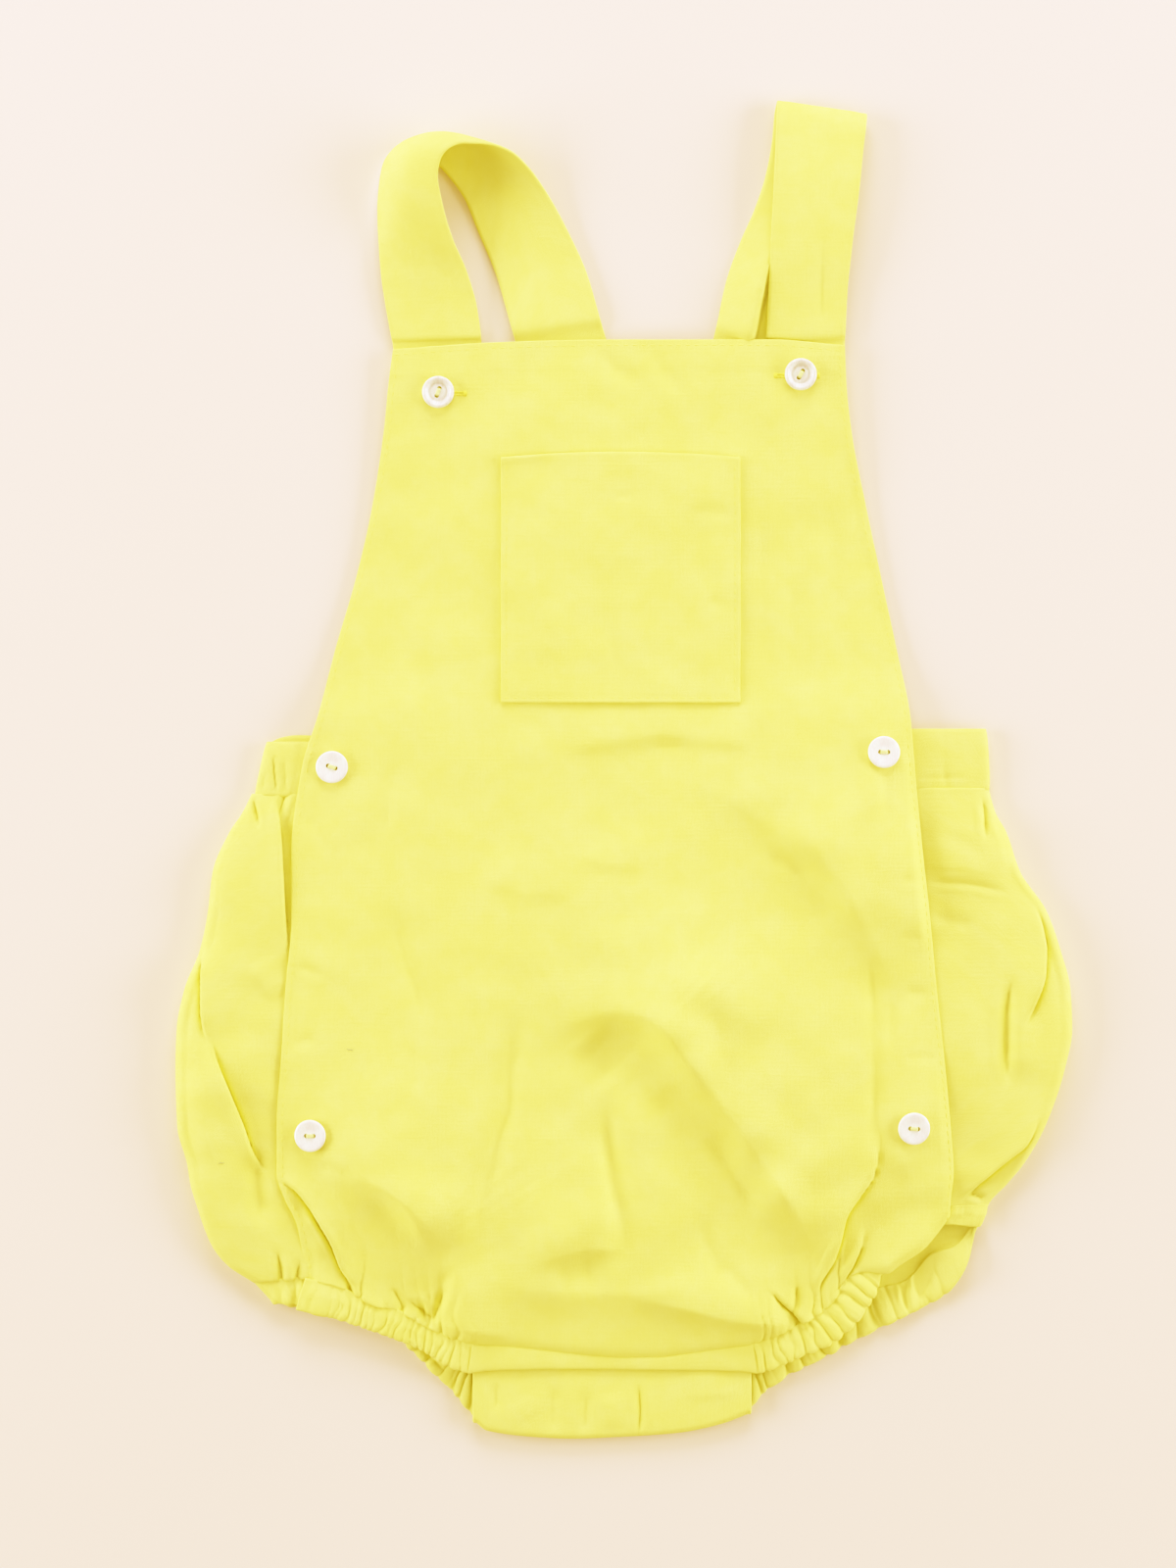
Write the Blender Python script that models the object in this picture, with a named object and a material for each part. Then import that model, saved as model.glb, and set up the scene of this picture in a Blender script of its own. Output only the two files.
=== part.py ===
# A baby romper lying face up on a flat surface, its straps looped over above the bib.
# X runs across the garment, Y towards the straps and Z up from the surface it rests on.
# Sizes are millimetres, and each mesh is made in metres. Left and right are the viewer's.

import math

import bpy
import numpy as np

METRES = 0.001

CLOTH = 1.2  # wall of the front and back panels and the pocket
DOUBLE_CLOTH = 1.5  # wall of the pieces sewn double: straps, waistband, casings, crotch bands
SEAM_GAP = 0.3

WING_STATIONS = 8
FOLD_STATIONS = 4
BACK_STATIONS = (9, 9, 10)  # steps along the left leg edge, the crotch and the right leg edge
BACK_ROWS = 17
BACK_SPREAD = 1.5  # how late, going down, the stations move out to the leg edges
FRONT_STATIONS = (8, 10, 9)
FRONT_ROWS = 31
FRONT_SPREAD = 2

GATHER_PITCH = 6.2  # one gather of a leg casing
GATHER_HEIGHT = 0.9
WAIST_PITCH = 8.4  # one pucker of the back waistband
WAIST_PUCKER = 0.3
STATIONS_PER_GATHER = 4

WAIST_RADIUS = 1.6  # fold of the waistband at each side
CASING_RADIUS = 2.0  # fold of a back leg casing at the side
CROTCH_RADIUS = 1.5
CROTCH_TOP_Z = 5.7  # middle of the front crotch band

BUTTON_RADIUS = 5.5
BUTTON_PROFILE = (  # radius and height, from the middle of its underside round to its dish
    (0, 0), (4.6, 0), (5.3, 0.4), (BUTTON_RADIUS, 1.1), (5.2, 1.9),
    (4.6, 2.1), (3.7, 1.5), (2.6, 1.25), (0, 1.2),
)
BUTTON_SIDES = 18
BUTTON_HOLE_RADIUS = 0.8
BUTTON_HOLE_SPACING = 2.6
BUTTON_HOLE_SIDES = 8

CLOTH_COLOUR = (0.87, 0.80, 0.17, 1.0)
SHELL_COLOUR = (0.84, 0.80, 0.80, 1.0)


def table(names, *rows):
    return dict(zip(names.split(), np.array(rows, float).T))


# Outline of the body at its two side folds, how far each fold stands up, and the rise of the wing.
BODY = table(
    "y left right left_radius right_radius left_puff right_puff",
    (-8, -126.5, 123.5, 1.7, 1.7, 0.0, 0.0),
    (-15.5, -130.2, 125.7, 2.2, 2.0, 0.6, 0.4),
    (-22, -134.5, 129.3, 2.6, 2.4, 1.0, 0.7),
    (-35.5, -140.2, 134, 3.1, 2.9, 1.8, 1.2),
    (-49, -141.8, 143, 3.3, 3.3, 2.2, 1.7),
    (-62, -144.5, 147.6, 3.5, 3.5, 2.6, 2.2),
    (-75.5, -149.8, 151, 3.6, 3.6, 2.9, 2.5),
    (-89, -152.4, 151.6, 3.6, 3.6, 3.0, 2.6),
    (-102, -152.8, 149.2, 3.6, 3.5, 3.0, 2.3),
    (-122, -152.2, 142.4, 3.5, 3.2, 2.6, 1.6),
    (-135, -148.8, 135, 3.3, 2.4, 2.2, 0.8),
    (-141.5, -147.8, 131, 3.2, 2.0, 2.0, 0.3),
    (-149, -145.6, 131, 3.0, 2.0, 1.8, 0.3),
    (-162, -140.8, 131, 2.6, 2.0, 1.0, 0.3),
    (-169, -135.5, 131, 2.2, 2.0, 0.4, 0.3),
    (-175, -126.5, 131, 2.0, 2.0, 0.0, 0.3),
)

# Free edges of the back's two wings, which lie under the sides of the front.
WING_EDGES = table(
    "y left right z",
    (12, -97, 87, 4.0),
    (-28, -103, 90, 4.4),
    (-75, -105, 95, 5.0),
    (-122, -107, 99, 4.8),
    (-150, -103, 100, 4.4),
    (-185, -101, 100, 4.2),
)

# Leg edges of the back where it lies on the surface, from the side fold to the crotch:
# the seam of the casing, then the casing's free edge.
BACK_LEFT_LEG = table(
    "x y out_x out_y",
    (-126.5, -175, -119.5, -182.3),
    (-112, -174, -110, -184),
    (-98, -175.5, -98, -186),
    (-86, -178.5, -89, -189),
    (-74, -184, -79, -193),
    (-64, -190.5, -71.5, -199.5),
    (-57.4, -197, -65.2, -206),
    (-53.2, -202.5, -58.4, -213),
    (-51, -205.8, -51, -222),
)
BACK_RIGHT_LEG = table(
    "x y out_x out_y",
    (131, -141.5, 126.6, -148.2),
    (119, -146.5, 121.3, -157.2),
    (110.5, -155, 118.8, -163),
    (106, -164, 115.5, -171),
    (101, -169.5, 110.3, -178),
    (93, -174.5, 99, -184.6),
    (84, -178.5, 88.8, -189.6),
    (73, -185, 76.8, -195.4),
    (63, -190.5, 68.6, -200),
    (54, -196, 57.8, -205.4),
    (46, -202, 49, -211),
    (41.8, -205.8, 41.8, -218.5),
)
# The same two edges on the wings above: the end of the casing at each wing's free edge.
WING_LEG_ENDS = table(
    "x y out_x out_y",
    (-101, -173, -101, -183.5),
    (100, -140, 99, -150),
)

# Sides of the front panel, bib and body in one.
FRONT = table(
    "y left right",
    (143, -79, 74.5),
    (131, -80.6, 75),
    (115, -82.2, 76.7),
    (88, -86.4, 82),
    (64.5, -91.8, 87),
    (41, -98.6, 92),
    (18, -104.5, 96.5),
    (0, -110, 98),
    (-28, -113.5, 100.5),
    (-52, -113.5, 103),
    (-75, -115.5, 105),
    (-99, -117, 107.5),
    (-122, -118.5, 109.5),
    (-138, -118.5, 110.5),
    (-146, -116, 109.5),
    (-156, -111.5, 109),
    (-174, -109, 109),
    (-197, -109, 109),
)
FRONT_TOP = table(
    "x y", (-79, 142.2), (-46, 144.5), (-6, 145.5), (50, 145.5), (74.5, 143.5)
)
FRONT_HEIGHT = table(
    "y left middle right",
    (146, 3.9, 5.0, 5.2),
    (115, 3.5, 5.0, 4.6),
    (88, 2.4, 5.0, 2.8),
    (60, 2.0, 5.2, 2.2),
    (35, 3.0, 5.4, 3.0),
    (14, 6.1, 5.6, 6.1),
    (-10, 6.5, 6.2, 6.5),
    (-35, 7.6, 7.6, 7.4),
    (-75, 8.4, 9.2, 8.3),
    (-110, 8.4, 9.8, 8.2),
    (-140, 7.8, 10.0, 7.2),
    (-170, 7.2, 9.8, 6.6),
    (-200, 6.4, 9.0, 6.4),
)

# Lower edges of the front from each side to the crotch: casing seam, then its free edge.
FRONT_LEFT_LEG = table(
    "x y out_x out_y",
    (-109, -174, -112, -184.2),
    (-98.5, -176.2, -100.2, -186.8),
    (-89.5, -180.5, -91.5, -189.5),
    (-78, -184.4, -80.5, -193.3),
    (-68, -190, -70.2, -197.4),
    (-59, -193.8, -61.5, -202.8),
    (-51, -196.2, -53, -206),
)
FRONT_RIGHT_LEG = table(
    "x y out_x out_y",
    (109, -144.5, 110.3, -154.5),
    (97.5, -155.5, 102.2, -165),
    (88, -162, 92.6, -171.5),
    (77.5, -171.5, 85, -179),
    (70, -182, 78, -188.6),
    (64, -187, 69.8, -195.6),
    (57, -190.5, 60.5, -199.5),
    (49.5, -193.6, 52.2, -203.4),
    (42.3, -196.2, 44.2, -206),
)
FRONT_LEG_HEIGHT = table(
    "x z",
    (-109, 6.7),
    (-90, 6.0),
    (-70, 5.4),
    (-51, CROTCH_TOP_Z),
    (42, CROTCH_TOP_Z),
    (62, 5.4),
    (82, 5.8),
    (98, 6.6),
    (109, 6.7),
)
LEG_RISE = 26  # the front climbs from its leg and crotch edges to its full height over this

# Broad folds of the front: the two ends of each, its half width and its height.
FRONT_FOLDS = table(
    "x y end_x end_y width height",
    (0, -84, 12, -104, 13, -1.9),
    (14, -106, 52, -150, 12, -1.4),
    (-8, -110, -4, -160, 9, -1.2),
    (82, -65, 84, -135, 8, -1.2),
    (84, -120, 68, -170, 7, -1.4),
    (-100, -150, -92, -176, 7, -1.2),
    (-70, -45, -60, -110, 12, 0.8),
    (20, 6, -10, 6, 8, 0.5),
    (12, -178, 48, -190, 8, 0.8),
)

BAND_TOP = table("x y", (-127, 7.2), (-112, 11), (-85, 9), (-60, 8.5), (60, 12), (124, 13.2))
BAND_SEAM = table("x y", (-127, -9.6), (-60, -9.2), (60, -8), (124, -7.6))
# Where the waistband folds over at each side, at its top and at its seam.
BAND_FOLDS = table("top seam", (-122, -126), (122.5, 123.6))

CROTCH_LEFT = -50.4
CROTCH_RIGHT = 41.2
CROTCH_BACK_Y = -205.8
CROTCH_TUCK_Y = -200  # the back band's upper end, under the front band
CROTCH_FRONT_LOW_Y = -204.6
CROTCH_BOTTOM = table(
    "x y",
    (-50.6, -222.5),
    (-47, -225.2),
    (-30, -227.4),
    (-18, -227.9),
    (-4, -227.4),
    (17, -226),
    (32, -223),
    (41.4, -219.5),
)

POCKET_LEFT = -42.2
POCKET_RIGHT = 38.8
POCKET_BOTTOM = 22.2
POCKET_TOP = 105.4
POCKET_TOP_BOW = 1.8

# Each strap from its end under the bib, over the loop above and down behind the bib to the
# waistband. A row is one section: both edges, and how far its middle stands off the chord.
LEFT_STRAP = table(
    "left_x left_y left_z right_x right_y right_z bow",
    (-77, 114.5, 1.0, -47.5, 114.5, 1.0, 0),
    (-78.2, 134, 1.1, -48.8, 134, 1.1, 0),
    (-79.2, 145, 1.7, -49.4, 145, 1.7, 0),
    (-81.6, 157.8, 2.6, -51, 157.8, 3.2, 0.4),
    (-83.2, 169.2, 3.0, -54.4, 169.2, 6.4, 0.8),
    (-83.9, 179.8, 2.8, -59, 179.8, 10.8, 2.2),
    (-84.2, 189.8, 2.2, -62, 189.8, 14.4, 3.6),
    (-83.6, 199.4, 1.6, -63.8, 199.8, 16.8, 4.2),
    (-82.2, 206.2, 1.2, -62.8, 205.6, 17.6, 4.4),
    (-79, 210, 1.1, -60, 209.2, 17.8, 4.4),
    (-73.4, 210.8, 1.1, -54.4, 211.2, 17.4, 4.4),
    (-67.6, 208.6, 1.1, -46.8, 211, 16.2, 4.0),
    (-62.8, 204.6, 1.1, -39.4, 209, 14.0, 3.6),
    (-58.8, 200, 1.1, -32.4, 203, 11.4, 2.0),
    (-54.8, 194.2, 1.1, -26.3, 194.5, 8.6, 0.8),
    (-49.6, 181.8, 1.1, -19.6, 182.2, 5.4, 0),
    (-43.6, 167.2, 1.1, -13.6, 169, 3.2, 0),
    (-37, 144.4, 1.1, -7.4, 148, 1.4, 0),
    (-30.5, 121, 1.2, -1.4, 127, 1.2, 0),
    (-23.5, 97, 2.7, 5.3, 104, 2.7, 0),
    (-11, 57, 2.8, 18, 64, 2.8, 0),
    (1, 19, 2.8, 30.5, 23, 2.8, 0),
    (5.5, 9, 3.3, 35.5, 10, 3.3, 0),
    (8, -5.5, 3.4, 38, -5.5, 3.4, 0),
)
RIGHT_STRAP = table(
    "left_x left_y left_z right_x right_y right_z bow",
    (45, 119.5, 2.7, 74.4, 119.5, 2.7, 0),
    (46.4, 133, 2.7, 74.4, 133, 2.7, 0),
    (48, 145.2, 3.0, 74.5, 145.8, 3.0, 0.3),
    (48.8, 161.2, 5.2, 75.2, 161.2, 5.2, 0.7),
    (49.5, 177.8, 7.0, 76.8, 177.8, 7.0, 0.9),
    (50.5, 197.8, 7.8, 79.2, 196.8, 7.8, 0.7),
    (51.2, 213, 7.2, 80.6, 210.6, 7.2, 0.3),
    (51.6, 222.6, 6.0, 81.6, 218.4, 6.0, 0),
    (51.8, 226.8, 3.6, 82, 222.4, 3.6, 0),
    (51, 223, 1.2, 80.8, 218.2, 1.2, 0),
    (50.2, 214, 1.0, 79.2, 208.4, 1.0, 0),
    (48, 202, 1.0, 76.2, 195, 1.0, 0),
    (44.2, 190.4, 1.0, 72.2, 182, 1.0, 0),
    (39.8, 180.4, 1.0, 68.2, 170.4, 1.0, 0),
    (34.6, 166.2, 1.0, 62.9, 156.2, 1.0, 0),
    (30.3, 146.8, 1.0, 58.4, 136.6, 1.0, 0),
    (22.5, 124.5, 0.9, 50.3, 113, 0.9, 0),
    (-6, 62, 0.9, 21.5, 50, 0.9, 0),
    (-26, 21, 0.9, 2, 16, 1.0, 0),
    (-32.5, 9, 3.3, -3.5, 8, 3.3, 0),
    (-37, -5.5, 3.4, -7.5, -5.5, 3.4, 0),
)
# The right strap's back run is creased along its length: where the crease lies across it, how
# high it stands on each row and how steeply it drops on the side under the front run.
STRAP_CREASE = table(
    "row height",
    (0, 0), (10, 0), (11, 0.8), (12, 2.0), (13, 3.2), (14, 3.4), (15, 1.4), (15.6, 0), (20, 0)
)
CREASE_AT = 0.42
CREASE_DROP = 0.12
STRAP_STATIONS_PER_ROW = 2
STRAP_COLUMNS = 6
CREASED_PLACES = (0, 0.14, 0.28, CREASE_AT, CREASE_AT + CREASE_DROP, 0.75, 1)  # across a strap

BUTTONS = table(
    "x y slot_degrees",
    (-63.8, 127.8, 70),
    (59.5, 133.8, 60),
    (-99.8, 0.2, 20),
    (87.5, 5.2, 0),
    (-106.8, -124.8, 10),
    (97.5, -122.2, 15),
)
BUTTON_NAMES = (
    "button_bib_left",
    "button_bib_right",
    "button_waist_left",
    "button_waist_right",
    "button_hip_left",
    "button_hip_right",
)


def curve(knots, values, at):
    # A smooth curve through a table's column that stays between neighbouring rows.
    order = np.argsort(knots)
    knots = np.asarray(knots, float)[order]
    values = np.asarray(values, float)[order]
    steps = np.diff(knots)
    rises = np.diff(values) / steps
    slopes = np.zeros_like(values)
    turning = rises[:-1] * rises[1:] <= 0
    total = np.where(turning, 1, rises[:-1] + rises[1:])
    slopes[1:-1] = np.where(turning, 0, 2 * rises[:-1] * rises[1:] / total)
    slopes[0] = rises[0]
    slopes[-1] = rises[-1]
    at = np.clip(at, knots[0], knots[-1])
    i = np.clip(np.searchsorted(knots, at) - 1, 0, len(steps) - 1)
    t = (at - knots[i]) / steps[i]
    bend = t * (1 - t) * (slopes[i] * (1 - t) - slopes[i + 1] * t) * steps[i]
    return values[i] + (values[i + 1] - values[i]) * ease(t) + bend


def ease(t):
    t = np.clip(t, 0, 1)
    return t * t * (3 - 2 * t)


def along(rows, share):
    # Points at even shares of the way along a table's x and y, and its out_x and out_y.
    at = np.linspace(0, 1, len(rows["x"]))
    return {name: curve(at, column, share) for name, column in rows.items()}


def normals_of(points):
    across = np.gradient(points, axis=0)
    down = np.gradient(points, axis=1)
    normals = np.cross(across, down)
    return normals / np.linalg.norm(normals, axis=2, keepdims=True)


def material(name, colour, roughness):
    made = bpy.data.materials.new(name)
    made.use_nodes = True
    shader = made.node_tree.nodes["Principled BSDF"]
    shader.inputs["Base Color"].default_value = colour
    shader.inputs["Roughness"].default_value = roughness
    shader.inputs["Metallic"].default_value = 0.0
    made.diffuse_color = colour
    return made


def add_object(name, vertices, faces, surface, smooth_faces):
    mesh = bpy.data.meshes.new(name)
    mesh.from_pydata([tuple(METRES * c for c in v) for v in vertices], [], faces)
    mesh.materials.append(surface)
    for polygon in mesh.polygons:
        polygon.use_smooth = polygon.index < smooth_faces
    made = bpy.data.objects.new(name, mesh)
    bpy.context.scene.collection.objects.link(made)
    return made


def sew(name, points, wall, colour=CLOTH_COLOUR, roughness=0.92):
    # A closed wall of cloth about a grid of points in the middle of its thickness.
    stations, rows = points.shape[:2]
    offset = normals_of(points) * wall / 2
    vertices = np.concatenate(
        [(points + offset).reshape(-1, 3), (points - offset).reshape(-1, 3)]
    )
    under = stations * rows
    index = np.arange(under).reshape(stations, rows)
    faces = []
    for i in range(stations - 1):
        for j in range(rows - 1):
            quad = (index[i, j], index[i + 1, j], index[i + 1, j + 1], index[i, j + 1])
            faces.append(tuple(int(corner) for corner in quad))
    faces += [tuple(under + corner for corner in reversed(face)) for face in faces]
    smooth_faces = len(faces)
    edge = [*index[:, 0], *index[-1, 1:], *index[-2::-1, -1], *index[0, -2:0:-1]]
    for first, second in zip(edge, edge[1:] + edge[:1]):
        first, second = int(first), int(second)
        faces.append((second, first, under + first, under + second))
    return add_object(
        name, vertices, faces, material(name, colour, roughness), smooth_faces
    )


def wing(edge, fold, radius, base, edge_z, puff, side):
    # One section of a side: from the wing's free edge, round the fold, to the surface below.
    # side is 1 on the right and -1 on the left.
    t = np.linspace(1, 0, WING_STATIONS)
    top = base + 2 * radius
    inner_x = fold[0] - side * radius
    x = inner_x + (edge[0] - inner_x) * t
    y = fold[1] + (edge[1] - fold[1]) * t
    z = top + puff * np.sin(math.pi * np.sqrt(t)) ** 2 + (edge_z - top) * t
    turn = np.linspace(0, math.pi, FOLD_STATIONS + 2)[1:]
    arc_x = inner_x + side * radius * np.sin(turn)
    arc_z = base + radius + radius * np.cos(turn)
    arc = np.stack([arc_x, np.full_like(turn, fold[1]), arc_z], axis=1)
    return np.concatenate([np.stack([x, y, z], axis=1), arc])


def past_fold(x, fold_x, radius):
    # Keeps the cloth on the surface clear of the fold beside it, and leaves it alone further in.
    return fold_x + np.hypot(np.maximum(x - fold_x, 0), radius)


def back_panel():
    share = np.linspace(0, 1, sum(BACK_STATIONS) + 1)
    leg_x, leg_y = lower_edge(BACK_LEFT_LEG, BACK_RIGHT_LEG, BACK_STATIONS)
    leg_left = curve(BODY["y"], BODY["left"], leg_y)
    leg_right = curve(BODY["y"], BODY["right"], leg_y)
    leg_place = (leg_x - leg_left) / (leg_right - leg_left)
    waist_x = curve(BODY["y"], BODY["left"], -10) * (1 - share)
    waist_x = waist_x + curve(BODY["y"], BODY["right"], -10) * share
    waist_y = curve(BAND_SEAM["x"], BAND_SEAM["y"], waist_x) - SEAM_GAP
    sections = []
    for down in np.linspace(0, 1, BACK_ROWS):
        y = waist_y + (leg_y - waist_y) * down
        place = share + (leg_place - share) * down**BACK_SPREAD
        section = []
        folds = []
        for side, end, name in ((-1, 0, "left"), (1, -1, "right")):
            fold_y = y[end]
            fold_x = curve(BODY["y"], BODY[name], fold_y)
            radius = curve(BODY["y"], BODY[name + "_radius"], fold_y)
            puff = curve(BODY["y"], BODY[name + "_puff"], fold_y)
            leg_end = WING_LEG_ENDS["y"][0 if side < 0 else 1]
            edge_y = waist_y[end] + (leg_end - waist_y[end]) * down
            edge_x = curve(WING_EDGES["y"], WING_EDGES[name], edge_y)
            edge_z = curve(WING_EDGES["y"], WING_EDGES["z"], edge_y)
            section.append(
                wing(
                    (edge_x, edge_y), (fold_x, fold_y), radius, CLOTH / 2, edge_z, puff, side
                )
            )
            folds.append((fold_x, radius))
        left = curve(BODY["y"], BODY["left"], y)
        right = curve(BODY["y"], BODY["right"], y)
        x = left + (right - left) * place
        x = past_fold(x, *folds[0])
        x = -past_fold(-x, -folds[1][0], folds[1][1])
        flat = np.stack([x, y, np.full_like(x, CLOTH / 2)], axis=1)
        sections.append(np.concatenate([section[0], flat[1:-1], section[1][::-1]]))
    return sew("back_panel", np.stack(sections, axis=1), CLOTH)


def puckered(points, pitch, height, firm_rows):
    # Raises a strip in even gathers along its length, towards the inside of the garment.
    # firm_rows is how much of the gathers each row across the strip takes.
    middle = points[:, points.shape[1] // 2]
    steps = np.linalg.norm(np.diff(middle, axis=0), axis=1)
    distance = np.concatenate([[0], np.cumsum(steps)])
    wave = (1 - np.cos(2 * math.pi * distance / pitch)) / 2
    lift = height * wave[:, None] * np.asarray(firm_rows)[None, :]
    return points + normals_of(points) * lift[:, :, None]


def respaced(points, pitch):
    # The same strip with even stations, enough of them for gathers of this pitch.
    middle = points[:, points.shape[1] // 2]
    steps = np.linalg.norm(np.diff(middle, axis=0), axis=1)
    distance = np.concatenate([[0], np.cumsum(steps)])
    gathers = round(distance[-1] / pitch)
    even = np.linspace(0, distance[-1], gathers * STATIONS_PER_GATHER + 1)
    return np.stack(
        [
            np.stack([np.interp(even, distance, points[:, j, k]) for k in range(3)], axis=1)
            for j in range(points.shape[1])
        ],
        axis=1,
    )


def back_waistband():
    share = np.linspace(0, 1, sum(BACK_STATIONS) + 1)
    base = DOUBLE_CLOTH / 2
    rows = []
    for drop in (0, 0.5, 1):
        folds = []
        for i, side, name in ((0, -1, "left"), (1, 1, "right")):
            fold_x = BAND_FOLDS["top"][i] + (BAND_FOLDS["seam"][i] - BAND_FOLDS["top"][i]) * drop
            top = curve(BAND_TOP["x"], BAND_TOP["y"], fold_x)
            seam = curve(BAND_SEAM["x"], BAND_SEAM["y"], fold_x)
            y = top + (seam - top) * drop
            edge_x = curve(WING_EDGES["y"], WING_EDGES[name], y)
            folds.append(
                wing((edge_x, y), (fold_x, y), WAIST_RADIUS, base, base + 2 * WAIST_RADIUS, 0, side)
            )
        x = folds[0][-1][0] + (folds[1][-1][0] - folds[0][-1][0]) * share
        top = curve(BAND_TOP["x"], BAND_TOP["y"], x)
        seam = curve(BAND_SEAM["x"], BAND_SEAM["y"], x)
        flat = np.stack([x, top + (seam - top) * drop, np.full_like(x, base)], axis=1)
        rows.append(np.concatenate([folds[0], flat[1:-1], folds[1][::-1]]))
    strip = respaced(np.stack(rows, axis=1)[:, ::-1], WAIST_PITCH)
    strip = puckered(strip, WAIST_PITCH, WAIST_PUCKER, (0.6, 1, 0.6))
    return sew("back_waistband", strip, DOUBLE_CLOTH)


def back_leg_casing(name, leg, steps, wing_end, side):
    base = DOUBLE_CLOTH / 2
    radius = CASING_RADIUS
    rail = along(leg, np.linspace(0, 1, steps + 1))
    gap = SEAM_GAP / math.hypot(leg["out_x"][4] - leg["x"][4], leg["out_y"][4] - leg["y"][4])
    rows = []
    for out in (gap, 0.5, 1):
        x = rail["x"] + (rail["out_x"] - rail["x"]) * out
        y = rail["y"] + (rail["out_y"] - rail["y"]) * out
        edge_x = wing_end["x"] + (wing_end["out_x"] - wing_end["x"]) * out
        edge_y = wing_end["y"] + (wing_end["out_y"] - wing_end["y"]) * out
        top = base + 2 * radius
        turned = wing((edge_x, edge_y), (x[0], y[0]), radius, base, top, 0, side)
        flat_x = -side * past_fold(-side * x, -side * x[0], radius)
        flat = np.stack([flat_x, y, np.full_like(x, base)], axis=1)
        rows.append(np.concatenate([turned, flat[1:]]))
    return gathered(name, np.stack(rows, axis=1))


def gathered(name, points):
    # A leg casing: firm where it meets its panel, fullest at its free edge.
    strip = respaced(points, GATHER_PITCH)
    firm = (0.4, 0.8, 1)
    if normals_of(strip)[-1, 1, 2] < 0:
        strip = strip[:, ::-1]
        firm = (1, 0.8, 0.4)
    return sew(name, puckered(strip, GATHER_PITCH, GATHER_HEIGHT, firm), DOUBLE_CLOTH)


def leg_edge_y(x):
    # Height of the front's lower edge: a leg edge on each side and the crotch between.
    left = curve(FRONT_LEFT_LEG["x"], FRONT_LEFT_LEG["y"], x)
    right = curve(FRONT_RIGHT_LEG["x"], FRONT_RIGHT_LEG["y"], x)
    return np.where(x < 0, left, right)


def lower_edge(left_leg, right_leg, stations):
    # Points along a panel's lower edge: down one leg edge, across the crotch, up the other.
    left = along(left_leg, np.linspace(0, 1, stations[0] + 1))
    right = along(right_leg, np.linspace(1, 0, stations[2] + 1))
    middle = np.linspace(0, 1, stations[1] + 1)[1:-1]
    edge = []
    for axis in "xy":
        start, end = left[axis][-1], right[axis][0]
        edge.append(np.concatenate([left[axis], start + (end - start) * middle, right[axis]]))
    return edge


def front_height(x, y):
    left = curve(FRONT["y"], FRONT["left"], y)
    right = curve(FRONT["y"], FRONT["right"], y)
    place = np.clip((2 * x - left - right) / (right - left), -1, 1)
    heights = {name: curve(FRONT_HEIGHT["y"], FRONT_HEIGHT[name], y) for name in FRONT_HEIGHT}
    side = np.where(place < 0, heights["left"], heights["right"])
    z = heights["middle"] + (side - heights["middle"]) * ease(np.abs(place)) ** 1.2
    for i in range(len(FRONT_FOLDS["x"])):
        fold = {name: column[i] for name, column in FRONT_FOLDS.items()}
        run_x, run_y = fold["end_x"] - fold["x"], fold["end_y"] - fold["y"]
        length = math.hypot(run_x, run_y)
        s = ((x - fold["x"]) * run_x + (y - fold["y"]) * run_y) / length
        off = ((x - fold["x"]) * run_y - (y - fold["y"]) * run_x) / length
        past = np.maximum(np.maximum(-s, s - length), 0)
        z = z + fold["height"] * np.exp(-(off**2 + past**2) / fold["width"] ** 2)
    rise = ease((y - leg_edge_y(x)) / LEG_RISE)
    at_leg = curve(FRONT_LEG_HEIGHT["x"], FRONT_LEG_HEIGHT["z"], x)
    return at_leg + (z - at_leg) * rise


def front_panel():
    share = np.linspace(0, 1, sum(FRONT_STATIONS) + 1)
    top_x = FRONT["left"][0] + (FRONT["right"][0] - FRONT["left"][0]) * share
    top_y = curve(FRONT_TOP["x"], FRONT_TOP["y"], top_x)
    leg_x, low_y = lower_edge(FRONT_LEFT_LEG, FRONT_RIGHT_LEG, FRONT_STATIONS)
    low_left = curve(FRONT["y"], FRONT["left"], low_y)
    low_right = curve(FRONT["y"], FRONT["right"], low_y)
    low_place = (leg_x - low_left) / (low_right - low_left)
    columns = []
    for down in np.linspace(0, 1, FRONT_ROWS):
        y = top_y + (low_y - top_y) * down
        left = curve(FRONT["y"], FRONT["left"], y)
        right = curve(FRONT["y"], FRONT["right"], y)
        place = share + (low_place - share) * down**FRONT_SPREAD
        x = left + (right - left) * place
        columns.append(np.stack([x, y, front_height(x, y)], axis=1))
    return sew("front_panel", np.stack(columns, axis=1)[:, ::-1], CLOTH)


def front_leg_casing(name, leg, steps):
    rail = along(leg, np.linspace(0, 1, steps + 1))
    gap = SEAM_GAP / math.hypot(leg["out_x"][3] - leg["x"][3], leg["out_y"][3] - leg["y"][3])
    rows = []
    for out in (gap, 0.5, 1):
        x = rail["x"] + (rail["out_x"] - rail["x"]) * out
        y = rail["y"] + (rail["out_y"] - rail["y"]) * out
        z = curve(FRONT_LEG_HEIGHT["x"], FRONT_LEG_HEIGHT["z"], rail["x"])
        rows.append(np.stack([x, y, z], axis=1))
    return gathered(name, np.stack(rows, axis=1))


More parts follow.
